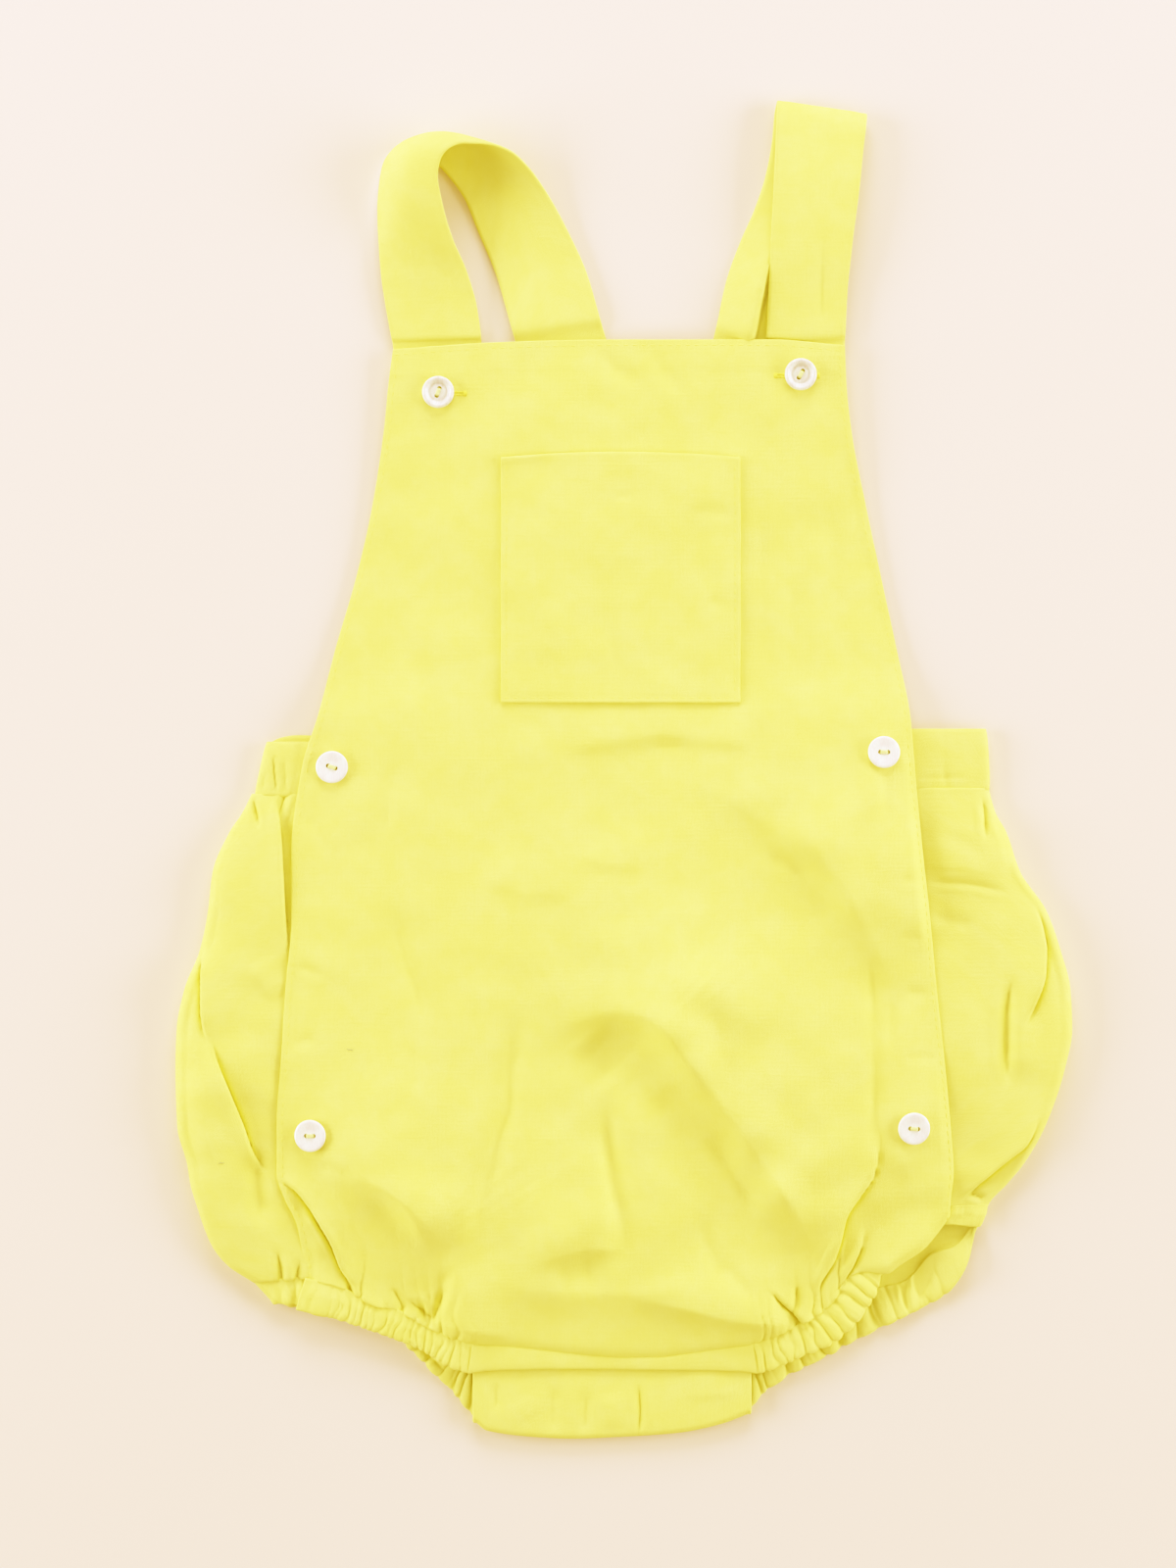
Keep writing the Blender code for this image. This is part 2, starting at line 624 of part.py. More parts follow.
def crotch_bands():
    across = np.linspace(CROTCH_LEFT, CROTCH_RIGHT, 19)
    bottom = curve(CROTCH_BOTTOM["x"], CROTCH_BOTTOM["y"], across)
    base = DOUBLE_CLOTH / 2
    turn = np.linspace(0, math.pi, 7)
    lines = []
    for x, low in zip(across, bottom):
        fold_y = low + CROTCH_RADIUS
        y = [CROTCH_BACK_Y - SEAM_GAP, (CROTCH_BACK_Y + fold_y) / 2]
        z = [base, base]
        y += list(fold_y - CROTCH_RADIUS * np.sin(turn))
        z += list(base + CROTCH_RADIUS * (1 - np.cos(turn)))
        y += [(fold_y + CROTCH_TUCK_Y) / 2, CROTCH_TUCK_Y]
        z += [base + 2 * CROTCH_RADIUS] * 2
        lines.append(np.stack([np.full(len(y), x), y, z], axis=1))
    sew("crotch_band_back", np.stack(lines), DOUBLE_CLOTH)
    strip = []
    for x in across:
        top = leg_edge_y(np.array(x)) - SEAM_GAP
        y = np.linspace(CROTCH_FRONT_LOW_Y, float(top), 3)
        strip.append(np.stack([np.full(3, x), y, np.full(3, CROTCH_TOP_Z)], axis=1))
    sew("crotch_band_front", np.stack(strip), DOUBLE_CLOTH)


def strap(name, rows, crease):
    count = len(rows["left_x"])
    knots = np.arange(count)
    at = np.linspace(0, count - 1, (count - 1) * STRAP_STATIONS_PER_ROW + 1)
    smooth = {key: curve(knots, column, at) for key, column in rows.items()}
    left = np.stack([smooth["left_x"], smooth["left_y"], smooth["left_z"]], axis=1)
    right = np.stack([smooth["right_x"], smooth["right_y"], smooth["right_z"]], axis=1)
    middle = (left + right) / 2
    run = np.gradient(middle, axis=0)
    off = np.cross(right - left, run)
    off = off / np.linalg.norm(off, axis=1, keepdims=True)
    ridge = curve(crease["row"], crease["height"], at) if crease else np.zeros_like(at)
    across = np.linspace(0, 1, STRAP_COLUMNS + 1)
    if crease:
        across = np.array(CREASED_PLACES)
    columns = []
    for place in across:
        point = left + (right - left) * place
        lift = smooth["bow"] * 4 * place * (1 - place)
        raised = place / CREASE_AT if place <= CREASE_AT else 1 - (place - CREASE_AT) / CREASE_DROP
        point = point + off * lift[:, None]
        point[:, 2] += ridge * max(raised, 0)
        columns.append(point)
    return sew(name, np.stack(columns), DOUBLE_CLOTH)


def pocket():
    across = np.linspace(0, 1, 11)
    up = np.linspace(0, 1, 11)
    grid = []
    for place in across:
        x = POCKET_LEFT + (POCKET_RIGHT - POCKET_LEFT) * place
        top = POCKET_TOP + POCKET_TOP_BOW * 4 * place * (1 - place)
        y = POCKET_BOTTOM + (top - POCKET_BOTTOM) * up
        x = np.full_like(y, x)
        grid.append(np.stack([x, y, front_height(x, y) + CLOTH + SEAM_GAP], axis=1))
    return sew("pocket", np.stack(grid), CLOTH)


def lathe(name, profile, sides, surface):
    # Turns a closed profile of radius and height about Z. Its first and last radius are zero.
    vertices = [(0, 0, profile[0][1])]
    for radius, height in profile[1:-1]:
        for i in range(sides):
            angle = 2 * math.pi * i / sides
            vertices.append((radius * math.cos(angle), radius * math.sin(angle), height))
    vertices.append((0, 0, profile[-1][1]))
    faces = []
    last_ring = len(profile) - 3
    for i in range(sides):
        j = (i + 1) % sides
        faces.append((0, 1 + j, 1 + i))
        for ring in range(last_ring):
            low, high = 1 + ring * sides, 1 + (ring + 1) * sides
            faces.append((low + i, low + j, high + j, high + i))
        top = 1 + last_ring * sides
        faces.append((top + i, top + j, len(vertices) - 1))
    return add_object(name, vertices, faces, surface, len(faces))


def button(name, x, y, slot_degrees):
    # A dished disc with two holes, standing clear of the front below it.
    angles = np.linspace(0, 2 * math.pi, 17)
    under_x = x + BUTTON_RADIUS * np.append(np.cos(angles), 0)
    under_y = y + BUTTON_RADIUS * np.append(np.sin(angles), 0)
    step = BUTTON_RADIUS / 2
    slope_x, slope_y = (
        float(front_height(np.array(x + dx), np.array(y + dy))
              - front_height(np.array(x - dx), np.array(y - dy))) / (2 * step)
        for dx, dy in ((step, 0), (0, step))
    )
    plane = slope_x * (under_x - x) + slope_y * (under_y - y)
    rest = float(np.max(front_height(under_x, under_y) - plane)) + CLOTH / 2 + SEAM_GAP
    made = lathe(name, BUTTON_PROFILE, BUTTON_SIDES, material(name, SHELL_COLOUR, 0.28))
    turn = math.radians(slot_degrees)
    for sign in (-1, 1):
        reach = sign * BUTTON_HOLE_SPACING / 2
        round_cut = ((0, -1), (BUTTON_HOLE_RADIUS, -1), (BUTTON_HOLE_RADIUS, 4), (0, 4))
        cutter = lathe(
            f"{name}_hole_{'a' if sign < 0 else 'b'}", round_cut, BUTTON_HOLE_SIDES, made.active_material
        )
        cutter.location = (
            METRES * reach * math.cos(turn), METRES * reach * math.sin(turn), 0
        )
        cutter.parent = made
        cutter.hide_render = True
        cut = made.modifiers.new("Hole", "BOOLEAN")
        cut.operation = "DIFFERENCE"
        cut.solver = "EXACT"
        cut.object = cutter
    made.rotation_euler = (math.atan(slope_y), -math.atan(slope_x), 0)
    made.location = (METRES * x, METRES * y, METRES * rest)
    return made


for old in list(bpy.data.objects):
    bpy.data.objects.remove(old)

back_panel()
back_waistband()
ends = [{name: column[i] for name, column in WING_LEG_ENDS.items()} for i in (0, 1)]
back_leg_casing("leg_casing_left_back", BACK_LEFT_LEG, BACK_STATIONS[0], ends[0], -1)
back_leg_casing("leg_casing_right_back", BACK_RIGHT_LEG, BACK_STATIONS[2], ends[1], 1)
front_panel()
front_leg_casing("leg_casing_left_front", FRONT_LEFT_LEG, FRONT_STATIONS[0])
front_leg_casing("leg_casing_right_front", FRONT_RIGHT_LEG, FRONT_STATIONS[2])
crotch_bands()
strap("strap_left", LEFT_STRAP, None)
strap("strap_right", RIGHT_STRAP, STRAP_CREASE)
pocket()
for i, button_name in enumerate(BUTTON_NAMES):
    button(button_name, BUTTONS["x"][i], BUTTONS["y"][i], BUTTONS["slot_degrees"][i])
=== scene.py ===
import math

import bpy
import numpy as np
from mathutils.bvhtree import BVHTree
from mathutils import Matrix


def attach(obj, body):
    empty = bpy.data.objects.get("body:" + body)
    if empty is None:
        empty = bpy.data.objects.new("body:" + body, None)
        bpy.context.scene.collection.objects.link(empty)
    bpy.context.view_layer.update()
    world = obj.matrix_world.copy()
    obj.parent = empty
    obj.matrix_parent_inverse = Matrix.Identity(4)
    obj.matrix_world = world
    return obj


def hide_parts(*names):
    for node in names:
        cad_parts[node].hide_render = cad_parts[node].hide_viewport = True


# A baby romper of lemon linen and cotton, lying face up, seen from straight above.
# X runs across it, Y towards the straps and Z up from the surface it lies on. Sizes are in
# millimetres and become metres where a mesh or an object is made. Left and right are the viewer's.
mm = 0.001

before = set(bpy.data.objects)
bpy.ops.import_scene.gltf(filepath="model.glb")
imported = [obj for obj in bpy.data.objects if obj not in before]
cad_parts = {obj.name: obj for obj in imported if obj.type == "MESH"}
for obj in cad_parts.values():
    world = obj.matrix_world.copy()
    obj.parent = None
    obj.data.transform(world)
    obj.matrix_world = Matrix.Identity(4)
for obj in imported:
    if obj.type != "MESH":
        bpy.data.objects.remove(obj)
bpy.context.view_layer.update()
body = "root"


def addObject(name, data):
    made = bpy.data.objects.new(name, data)
    bpy.context.scene.collection.objects.link(made)
    return made


# camera, light and floor

view = {
    "middle": (-12.8, -5.5), "tall": 533.3, "away": 1800.0, "sensor": 36.0, "clothHeight": 5.0,
    "nearest": 50.0, "farthest": 20000.0,
}

camera = bpy.data.cameras.new("camera")
camera.sensor_width = view["sensor"]
camera.lens = view["sensor"] * (view["away"] - view["clothHeight"]) / view["tall"]
camera.clip_start = mm * view["nearest"]
camera.clip_end = mm * view["farthest"]
cameraObject = addObject("camera", camera)
cameraObject.location = (mm * view["middle"][0], mm * view["middle"][1], mm * view["away"])
bpy.context.scene.camera = cameraObject

light = {
    "sky": (1.0, 0.90, 0.74), "skyStrength": 0.35,
    "boxColour": (0.97, 0.98, 1.0), "boxSize": (1200.0, 700.0),
    # where each softbox stands, and its watts
    "boxes": (
        ((-1450.0, 60.0, 540.0), 20.0), ((1450.0, 60.0, 540.0), 20.0),
        ((0.0, 1450.0, 700.0), 19.0), ((0.0, -1100.0, 1300.0), 2.0),
    ),
}
# The photograph's tone. Bright parts are pressed together, as a camera does it, and blue
# falls away sooner than red, so that shade is warm.
tone = {
    "top": 1.12, "steepness": 1.8, "white": 1.3,
    "powers": (0.66, 0.84, 1.5), "gains": (0.895, 0.897, 1.0),
    "places": (0.02, 0.06, 0.14, 0.24, 0.36, 0.5, 0.66, 0.83),  # where each curve has a point
}


def makeTone():
    settings = bpy.context.scene.view_settings
    settings.view_transform = "Standard"
    settings.use_curve_mapping = True
    mapping = settings.curve_mapping
    mapping.white_level = [tone["white"]] * 3
    pressed = mapping.curves[3].points  # the curve that all three colours share
    for at in tone["places"]:
        pressed.new(at, tone["top"] * (1 - math.exp(-tone["steepness"] * tone["white"] * at)))
    pressed[len(pressed) - 1].location[1] = 1.0
    for channel, power, gain in zip(mapping.curves, tone["powers"], tone["gains"]):
        for at in tone["places"]:
            channel.points.new(at, gain * at**power)
        channel.points[len(channel.points) - 1].location[1] = gain
    mapping.update()


def makeLights():
    world = bpy.data.worlds.new("studio")
    bpy.context.scene.world = world
    world.use_nodes = True
    background = world.node_tree.nodes["Background"]
    background.inputs["Color"].default_value = (*light["sky"], 1)
    background.inputs["Strength"].default_value = light["skyStrength"]
    for i, (place, watts) in enumerate(light["boxes"]):
        box = bpy.data.lights.new(f"softbox{i}", "AREA")
        box.shape = "RECTANGLE"
        box.size, box.size_y = (mm * s for s in light["boxSize"])
        box.energy = watts
        box.color = light["boxColour"]
        boxObject = addObject(box.name, box)
        boxObject.location = [mm * c for c in place]
        boxObject.rotation_euler = (-boxObject.location).to_track_quat("-Z", "Y").to_euler()


# curves, folds and gathers

def table(names, *rows):
    return dict(zip(names.split(), np.array(rows, float).T))


def ease(t):
    t = np.clip(t, 0, 1)
    return t * t * (3 - 2 * t)


def bell(t):
    return np.exp(-(t**2))


def unit(vectors):
    return vectors / np.maximum(np.linalg.norm(vectors, axis=-1, keepdims=True), 1e-9)


def curve(knots, values, at):
    # A smooth curve through a table's column that stays between neighbouring rows.
    order = np.argsort(knots)
    knots = np.asarray(knots, float)[order]
    values = np.asarray(values, float)[order]
    steps = np.diff(knots)
    rises = np.diff(values) / steps
    slopes = np.zeros_like(values)
    turning = rises[:-1] * rises[1:] <= 0
    total = np.where(turning, 1, rises[:-1] + rises[1:])
    slopes[1:-1] = np.where(turning, 0, 2 * rises[:-1] * rises[1:] / total)
    slopes[0] = rises[0]
    slopes[-1] = rises[-1]
    at = np.clip(at, knots[0], knots[-1])
    i = np.clip(np.searchsorted(knots, at) - 1, 0, len(steps) - 1)
    t = (at - knots[i]) / steps[i]
    bend = t * (1 - t) * (slopes[i] * (1 - t) - slopes[i + 1] * t) * steps[i]
    return values[i] + (values[i + 1] - values[i]) * ease(t) + bend


def alongTable(rows, share):
    at = np.linspace(0, 1, len(rows["x"]))
    return {name: curve(at, column, share) for name, column in rows.items()}


def column(rows, name, at):
    return curve(rows[list(rows)[0]], rows[name], at)


def normalsOf(points):
    return unit(np.cross(np.gradient(points, axis=0), np.gradient(points, axis=1)))


def travelled(points, axis):
    # Distance along the cloth from the grid's first line.
    steps = np.linalg.norm(np.diff(points, axis=axis), axis=2)
    start = np.zeros_like(np.take(steps, [0], axis=axis))
    return np.concatenate([start, np.cumsum(steps, axis=axis)], axis=axis)


def softNoise(x, y, size, seed):
    # Smooth uneven ground from -1 to 1, with lumps about this size.
    x, y = np.asarray(x, float), np.asarray(y, float)
    turn, cells = 0.7 * seed, 96
    across = (x * math.cos(turn) - y * math.sin(turn)) / size
    along = (x * math.sin(turn) + y * math.cos(turn)) / size
    cell = np.random.RandomState(seed).uniform(-1, 1, (cells, cells))
    i, j = np.floor(across).astype(int), np.floor(along).astype(int)
    s, t = ease(across - i), ease(along - j)
    i, j, nextI, nextJ = i % cells, j % cells, (i + 1) % cells, (j + 1) % cells
    low = cell[i, j] * (1 - s) + cell[nextI, j] * s
    high = cell[i, nextJ] * (1 - s) + cell[nextI, nextJ] * s
    return low * (1 - t) + high * t


def lumpsAt(x, y, lumps, seed):
    # The soft unevenness of washed linen, from the height and size of each kind of lump.
    return sum(height * softNoise(x, y, size, seed + i) for i, (height, size) in enumerate(lumps))


foldLook = {
    "steps": 6,  # straight steps between two places of a path
    "reach": 3.2, "billowReach": 6.0,  # how far off a fold is still felt, in half widths
    "fade": 0.35, "longestFade": 22.0,  # the share of a path that each end takes to fade, at most so long
    "uneven": 0.25, "unevenSize": 13.0,
    "hang": 0.6, "mostHang": 1.3,  # how far a tuck hangs over, as a share of its height, at most so far
}


def besidePath(x, y, pathX, pathY):
    # How far each place is from a path, how far to its left (on its right, below zero), how far
    # along it, which way is out to its left there, and the path's length.
    best = np.full(x.shape, 1e9)
    off, done, outX, outY = (np.zeros_like(x) for _ in range(4))
    gone = 0.0
    for ax, ay, bx, by in zip(pathX, pathY, pathX[1:], pathY[1:]):
        length = math.hypot(bx - ax, by - ay)
        runX, runY = (bx - ax) / length, (by - ay) / length
        t = np.clip((x - ax) * runX + (y - ay) * runY, 0, length)
        gapX, gapY = x - ax - t * runX, y - ay - t * runY
        gap = np.hypot(gapX, gapY)
        closer = gap < best
        side = np.where(runX * gapY - runY * gapX >= 0, 1, -1)
        best = np.where(closer, gap, best)
        off = np.where(closer, side * gap, off)
        done = np.where(closer, gone + t, done)
        outX, outY = np.where(closer, -runY, outX), np.where(closer, runX, outY)
        gone += length
    return best, off, done, outX, outY, gone


def acrossFold(kind, off, width):
    # The shape of a fold across its path. A soft fold is rounded. A pinch is a sharp groove
    # between two low lips. A tuck stands up on the left of its path, steep on the path itself,
    # and hangs over a groove on the right. A billow is cloth that swells on the left of its path
    # and falls away on the right.
    apart = np.abs(off) / width
    if kind == "soft":
        return bell(apart)
    if kind == "pinch":
        return np.exp(-1.6 * apart) - 0.28 * bell((apart - 1.7) / 0.8)
    if kind == "billow":
        return np.where(off > 0, bell(apart / 3), np.exp(-((1.7 * apart) ** 1.4)))
    side = np.tanh(off / 0.5)
    groove = 0.35 * np.exp(-1.5 * apart) + 0.45 * bell((off + 0.9) / 0.9)
    return 0.5 * (1 + side) * np.exp(-apart) - 0.5 * (1 - side) * groove


def folded(x, y, folds, seed):
    # Height, and shift in x and y, that folds give to cloth at these places. A fold is its kind,
    # half width, height (a trough's is below zero) and path.
    look = foldLook
    height, shiftX, shiftY = np.zeros_like(x), np.zeros_like(x), np.zeros_like(x)
    for count, (kind, width, rise, *path) in enumerate(folds):
        path = np.array(path, float)
        knots = np.arange(len(path))
        at = np.linspace(0, len(path) - 1, (len(path) - 1) * look["steps"] + 1)
        pathX, pathY = curve(knots, path[:, 0], at), curve(knots, path[:, 1], at)
        reach = look["billowReach" if kind == "billow" else "reach"] * width
        near = (x > pathX.min() - reach) & (x < pathX.max() + reach)
        near &= (y > pathY.min() - reach) & (y < pathY.max() + reach)
        if not near.any():
            continue
        px, py = x[near], y[near]
        best, off, done, outX, outY, length = besidePath(px, py, pathX, pathY)
        longest = 2 * width + 4 if kind == "billow" else look["longestFade"]
        ramp = min(look["fade"] * length, longest)
        fade = ease(done / ramp) * ease((length - done) / ramp)
        fade = fade * (1 + look["uneven"] * softNoise(px, py, look["unevenSize"], seed + count))
        shape = acrossFold(kind, off, width)
        height[near] += rise * fade * shape * ease((reach - best) / (0.3 * reach))
        if kind == "tuck":
            hang = min(look["hang"] * abs(rise), look["mostHang"]) * fade * bell((off - 0.7) / 1.2)
            shiftX[near] -= outX * hang
            shiftY[near] -= outY * hang
    return height, shiftX, shiftY


def gatherAt(distance, valleys, out=0.0, seed=1):
    # Rounded ridges between sharp valleys. A valley is how far along it lies and how deep it is.
    # out is how far out across the gathers: each valley deepens and fades its own way there.
    places, depths = np.array(valleys, float).T
    i = np.clip(np.searchsorted(places, distance) - 1, 0, len(places) - 2)
    apart = places[i + 1] - places[i]
    t = np.clip((distance - places[i]) / apart, 0, 1)
    swell = (0.2 + 0.26 * (depths[i] + depths[i + 1])) * np.minimum(1, apart / 5)
    height = swell * np.sin(math.pi * t) ** 0.7
    for k, gap in ((i, t * apart), (i + 1, (1 - t) * apart)):
        depth = depths[k] * (0.85 + 0.5 * softNoise(k * 3.7, out, 1.0, seed))
        height = height - depth * np.exp(-gap / (0.3 + 0.35 * depths[k]))
    return height


def unevenValleys(length, pitch, seed, depth):
    # Gathers as elastic makes them: no two alike, most of them slight and a few deep.
    draw = np.random.RandomState(seed)
    places = [-pitch]
    while places[-1] < length + pitch:
        places.append(places[-1] + pitch * draw.uniform(0.35, 1.75))
    return [(place, depth[0] + (depth[1] - depth[0]) * draw.uniform() ** 1.8) for place in places]


# cloth as a closed sheet

def lowestNear(heights, reach):
    low = heights.copy()
    for _ in range(reach):
        wide = np.pad(low, 1, mode="edge")
        low = np.minimum.reduce([
            wide[1:-1, 1:-1], wide[:-2, 1:-1], wide[2:, 1:-1], wide[1:-1, :-2], wide[1:-1, 2:],
        ])
    return low


def ringOf(index):
    return [*index[:, 0], *index[-1, 1:], *index[-2::-1, -1], *index[0, -2:0:-1]]


sheetLook = {
    "edgeRound": 0.3,  # how far an edge is rounded out, as a share of the cloth's thickness
    "grainApart": 40.0,  # so that no two sheets have the same slubs
}


def quads(index):
    corners = (index[:-1, :-1], index[1:, :-1], index[1:, 1:], index[:-1, 1:])
    return np.stack([c.reshape(-1) for c in corners], axis=1).tolist()


def clothSheet(name, points, above, below, grain, layer, underEvery=1):
    # Points are the middle of the cloth, on a grid. above and below are how far the two faces lie
    # from it. The underside may be coarser, every so many lines, and then never shows through.
    count = points.shape[:2]
    normals = normalsOf(points)
    above = np.broadcast_to(above, count)[..., None]
    below = np.broadcast_to(below, count)[..., None]
    upper, lower = points + normals * above, points - normals * below
    keep = [sorted({*range(0, n, underEvery), n - 1}) for n in count]
    if underEvery > 1:
        lower[1:-1, 1:-1, 2] = lowestNear(lower[..., 2], underEvery)[1:-1, 1:-1]
    lower = lower[np.ix_(*keep)]

    # the rim runs round the edge, between the faces and a little outside them
    top = np.arange(count[0] * count[1]).reshape(count)
    ring = ringOf(top)
    n = len(ring)
    i, j = np.divmod(np.array(ring), count[1])
    outward = unit(points[i, j] - points[np.clip(i, 1, count[0] - 2), np.clip(j, 1, count[1] - 2)])
    middle = (points + normals * (above - below) / 2)[i, j]
    rim = middle + outward * (above + below)[i, j] * sheetLook["edgeRound"]
    for face in (upper, rim, lower):
        face[..., 2] = np.maximum(face[..., 2], 0)  # the surface it lies on
    rimStart = top.size
    bottom = np.arange(len(keep[0]) * len(keep[1])).reshape(len(keep[0]), len(keep[1]))
    bottom = bottom + rimStart + n
    bottomOf = {(a, b): int(bottom[p, q]) for p, a in enumerate(keep[0]) for q, b in enumerate(keep[1])
                if a in (0, count[0] - 1) or b in (0, count[1] - 1)}

    faces = quads(top) + [face[::-1] for face in quads(bottom)]
    for a in range(n):
        b = (a + 1) % n
        faces.append([int(ring[b]), int(ring[a]), rimStart + a, rimStart + b])
    held = [a for a in range(n) if (i[a], j[a]) in bottomOf]
    for a, b in zip(held, held[1:] + [held[0] + n]):
        between = [rimStart + (k % n) for k in range(b, a - 1, -1)]
        faces.append(between + [bottomOf[(i[k % n], j[k % n])] for k in (a, b)])

    vertices = np.concatenate([upper.reshape(-1, 3), rim, lower.reshape(-1, 3)])
    grain = np.concatenate([grain, np.full((*count, 1), layer * sheetLook["grainApart"])], axis=2)
    weave = np.concatenate([grain.reshape(-1, 3), grain[i, j], grain[np.ix_(*keep)].reshape(-1, 3)])
    return addMesh(name, vertices, faces, clothMaterial, weave)


def newMesh(name, vertices, faces):
    mesh = bpy.data.meshes.new(name)
    mesh.from_pydata((np.asarray(vertices, float) * mm).tolist(), [], faces)
    return mesh


def addMesh(name, vertices, faces, surface, weave=None, slot="cloth", place=(0, 0, 0), tilt=(0, 0, 0)):
    mesh = newMesh(name, vertices, faces)
    mesh.polygons.foreach_set("use_smooth", [True] * len(mesh.polygons))
    if weave is not None:
        attribute = mesh.attributes.new("grain", "FLOAT_VECTOR", "POINT")
        attribute.data.foreach_set("vector", np.asarray(weave, np.float32).ravel())
    mesh.materials.append(surface)
    made = addObject(name, mesh)
    made.location = [mm * c for c in place]
    made.rotation_euler = tilt
    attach(made, body)
    return made


# materials

def nodeMaker(tree):
    def link(value, socket):
        if isinstance(value, bpy.types.NodeSocket):
            tree.links.new(value, socket)
        else:
            socket.default_value = value

    def maths(operation, a, b=0.0, clamp=False):
        made = tree.nodes.new("ShaderNodeMath")
        made.operation = operation
        made.use_clamp = clamp
        link(a, made.inputs[0])
        link(b, made.inputs[1])
        return made.outputs[0]

    def shareAbove(value, start, gain):
        return maths("MULTIPLY", maths("SUBTRACT", value, start), gain, True)

    def noise(vector, scale, detail=2.0, rough=0.5):
        made = tree.nodes.new("ShaderNodeTexNoise")
        link(vector, made.inputs["Vector"])
        made.inputs["Scale"].default_value = scale
        made.inputs["Detail"].default_value = detail
        made.inputs["Roughness"].default_value = rough
        return made.outputs["Fac"]

    def stretch(vector, by):
        made = tree.nodes.new("ShaderNodeVectorMath")
        made.operation = "MULTIPLY"
        link(vector, made.inputs[0])
        made.inputs[1].default_value = by
        return made.outputs[0]

    def blend(factor, a, b, kind="MIX"):
        made = tree.nodes.new("ShaderNodeMix")
        made.data_type = "RGBA"
        made.blend_type = kind
        link(factor, made.inputs[0])
        link(a, made.inputs[6])  # a mix node's colours come after its numbers and vectors
        link(b, made.inputs[7])
        return made.outputs[2]

    return link, maths, shareAbove, noise, stretch, blend


def newMaterial(name, settings):
    # A material whose shader has these values.
    made = bpy.data.materials.new(name)
    made.use_nodes = True
    shader = made.node_tree.nodes["Principled BSDF"]
    for socket, value in settings.items():
        shader.inputs[socket].default_value = value
    return made, made.node_tree, shader


def mottledMaterial(name, settings, scale, detail, colours):
    made, tree, shader = newMaterial(name, settings)
    link, _, _, noise, _, blend = nodeMaker(tree)
    place = tree.nodes.new("ShaderNodeTexCoord").outputs["Object"]
    first, second = ((*colour, 1) for colour in colours)
    link(blend(noise(place, scale, detail), first, second), shader.inputs["Base Color"])
    return made


clothLook = {
    "light": (0.873, 0.850, 0.296), "deep": (0.855, 0.822, 0.252), "slubColour": (0.860, 0.825, 0.262),
    "thread": 0.42,  # one thread's width
    "wander": (0.9, 0.7), "wanderScale": 0.35,  # how far warp and weft stray, and how often
    "threadShape": 0.35,  # how much a thread falls away where it goes under, from none at 0
    # painted shade: how much the colour darkens where the threads dip into the gaps between them
    "weaveDepth": 0.16, "bump": 0.55, "paintedGapShade": 0.07,
    "slubWide": 1.1, "slubLong": 24.0, "slubHeight": 1.6,
    "mottle": 11.0, "mottleDetail": (4.0, 0.62),
    "paler": (0.36, 3.4), "slubs": (0.56, 2.2),  # where in their noise each begins, and how sharply
    "shader": {
        "Roughness": 0.86, "Specular IOR Level": 0.22,
        "Sheen Weight": 0.12, "Sheen Roughness": 0.45, "Sheen Tint": (1.0, 0.98, 0.78, 1),
    },
}


def makeClothMaterial():
    look = clothLook
    made, tree, shader = newMaterial("lemonLinen", look["shader"])
    link, maths, shareAbove, noise, stretch, blend = nodeMaker(tree)

    attribute = tree.nodes.new("ShaderNodeAttribute")
    attribute.attribute_name = "grain"
    grain = attribute.outputs["Vector"]
    parts = tree.nodes.new("ShaderNodeSeparateXYZ")
    link(grain, parts.inputs[0])

    wide, long = 1 / look["slubWide"], 1 / look["slubLong"]
    warpSlub = noise(stretch(grain, (wide, long, 1)), 1.0)
    weftSlub = noise(stretch(grain, (long, wide, 1.7)), 1.0)
    slubs = maths("MAXIMUM", warpSlub, weftSlub)
    mottle = noise(grain, 1 / look["mottle"], *look["mottleDetail"])
    wander = noise(grain, look["wanderScale"], 1.0)

    # plain weave: round threads that go over and under each other
    turn = math.pi / look["thread"]
    warp, weft = (
        maths("SINE", maths("MULTIPLY", maths("ADD", place, maths("MULTIPLY", wander, far)), turn))
        for place, far in zip(parts.outputs, look["wander"])
    )
    warpOver = maths("GREATER_THAN", maths("MULTIPLY", warp, weft), 0.0)
    warpRound, weftRound = maths("ABSOLUTE", warp), maths("ABSOLUTE", weft)
    warpHigh = maths("MULTIPLY", warpRound, maths("POWER", weftRound, look["threadShape"]))
    weftHigh = maths("MULTIPLY", weftRound, maths("POWER", warpRound, look["threadShape"]))
    over = maths("MULTIPLY", warpHigh, warpOver)
    under = maths("MULTIPLY", weftHigh, maths("SUBTRACT", 1.0, warpOver))
    weave = maths("ADD", over, under)

    bump = tree.nodes.new("ShaderNodeBump")
    bump.inputs["Strength"].default_value = look["bump"]
    bump.inputs["Distance"].default_value = mm * look["weaveDepth"]
    link(maths("ADD", weave, maths("MULTIPLY", slubs, look["slubHeight"])), bump.inputs["Height"])
    link(bump.outputs[0], shader.inputs["Normal"])

    colour = blend(shareAbove(mottle, *look["paler"]), (*look["deep"], 1), (*look["light"], 1))
    colour = blend(shareAbove(slubs, *look["slubs"]), colour, (*look["slubColour"], 1))
    # painted shade: the base colour is darker where the weave is low, in the gaps between threads
    paintedWeaveShade = maths("ADD", 1 - look["paintedGapShade"], maths("MULTIPLY", weave, look["paintedGapShade"]))
    shade = tree.nodes.new("ShaderNodeCombineColor")
    for channel in range(3):
        link(paintedWeaveShade, shade.inputs[channel])
    link(blend(1.0, colour, shade.outputs[0], "MULTIPLY"), shader.inputs["Base Color"])
    made.diffuse_color = (*look["light"], 1)
    return made


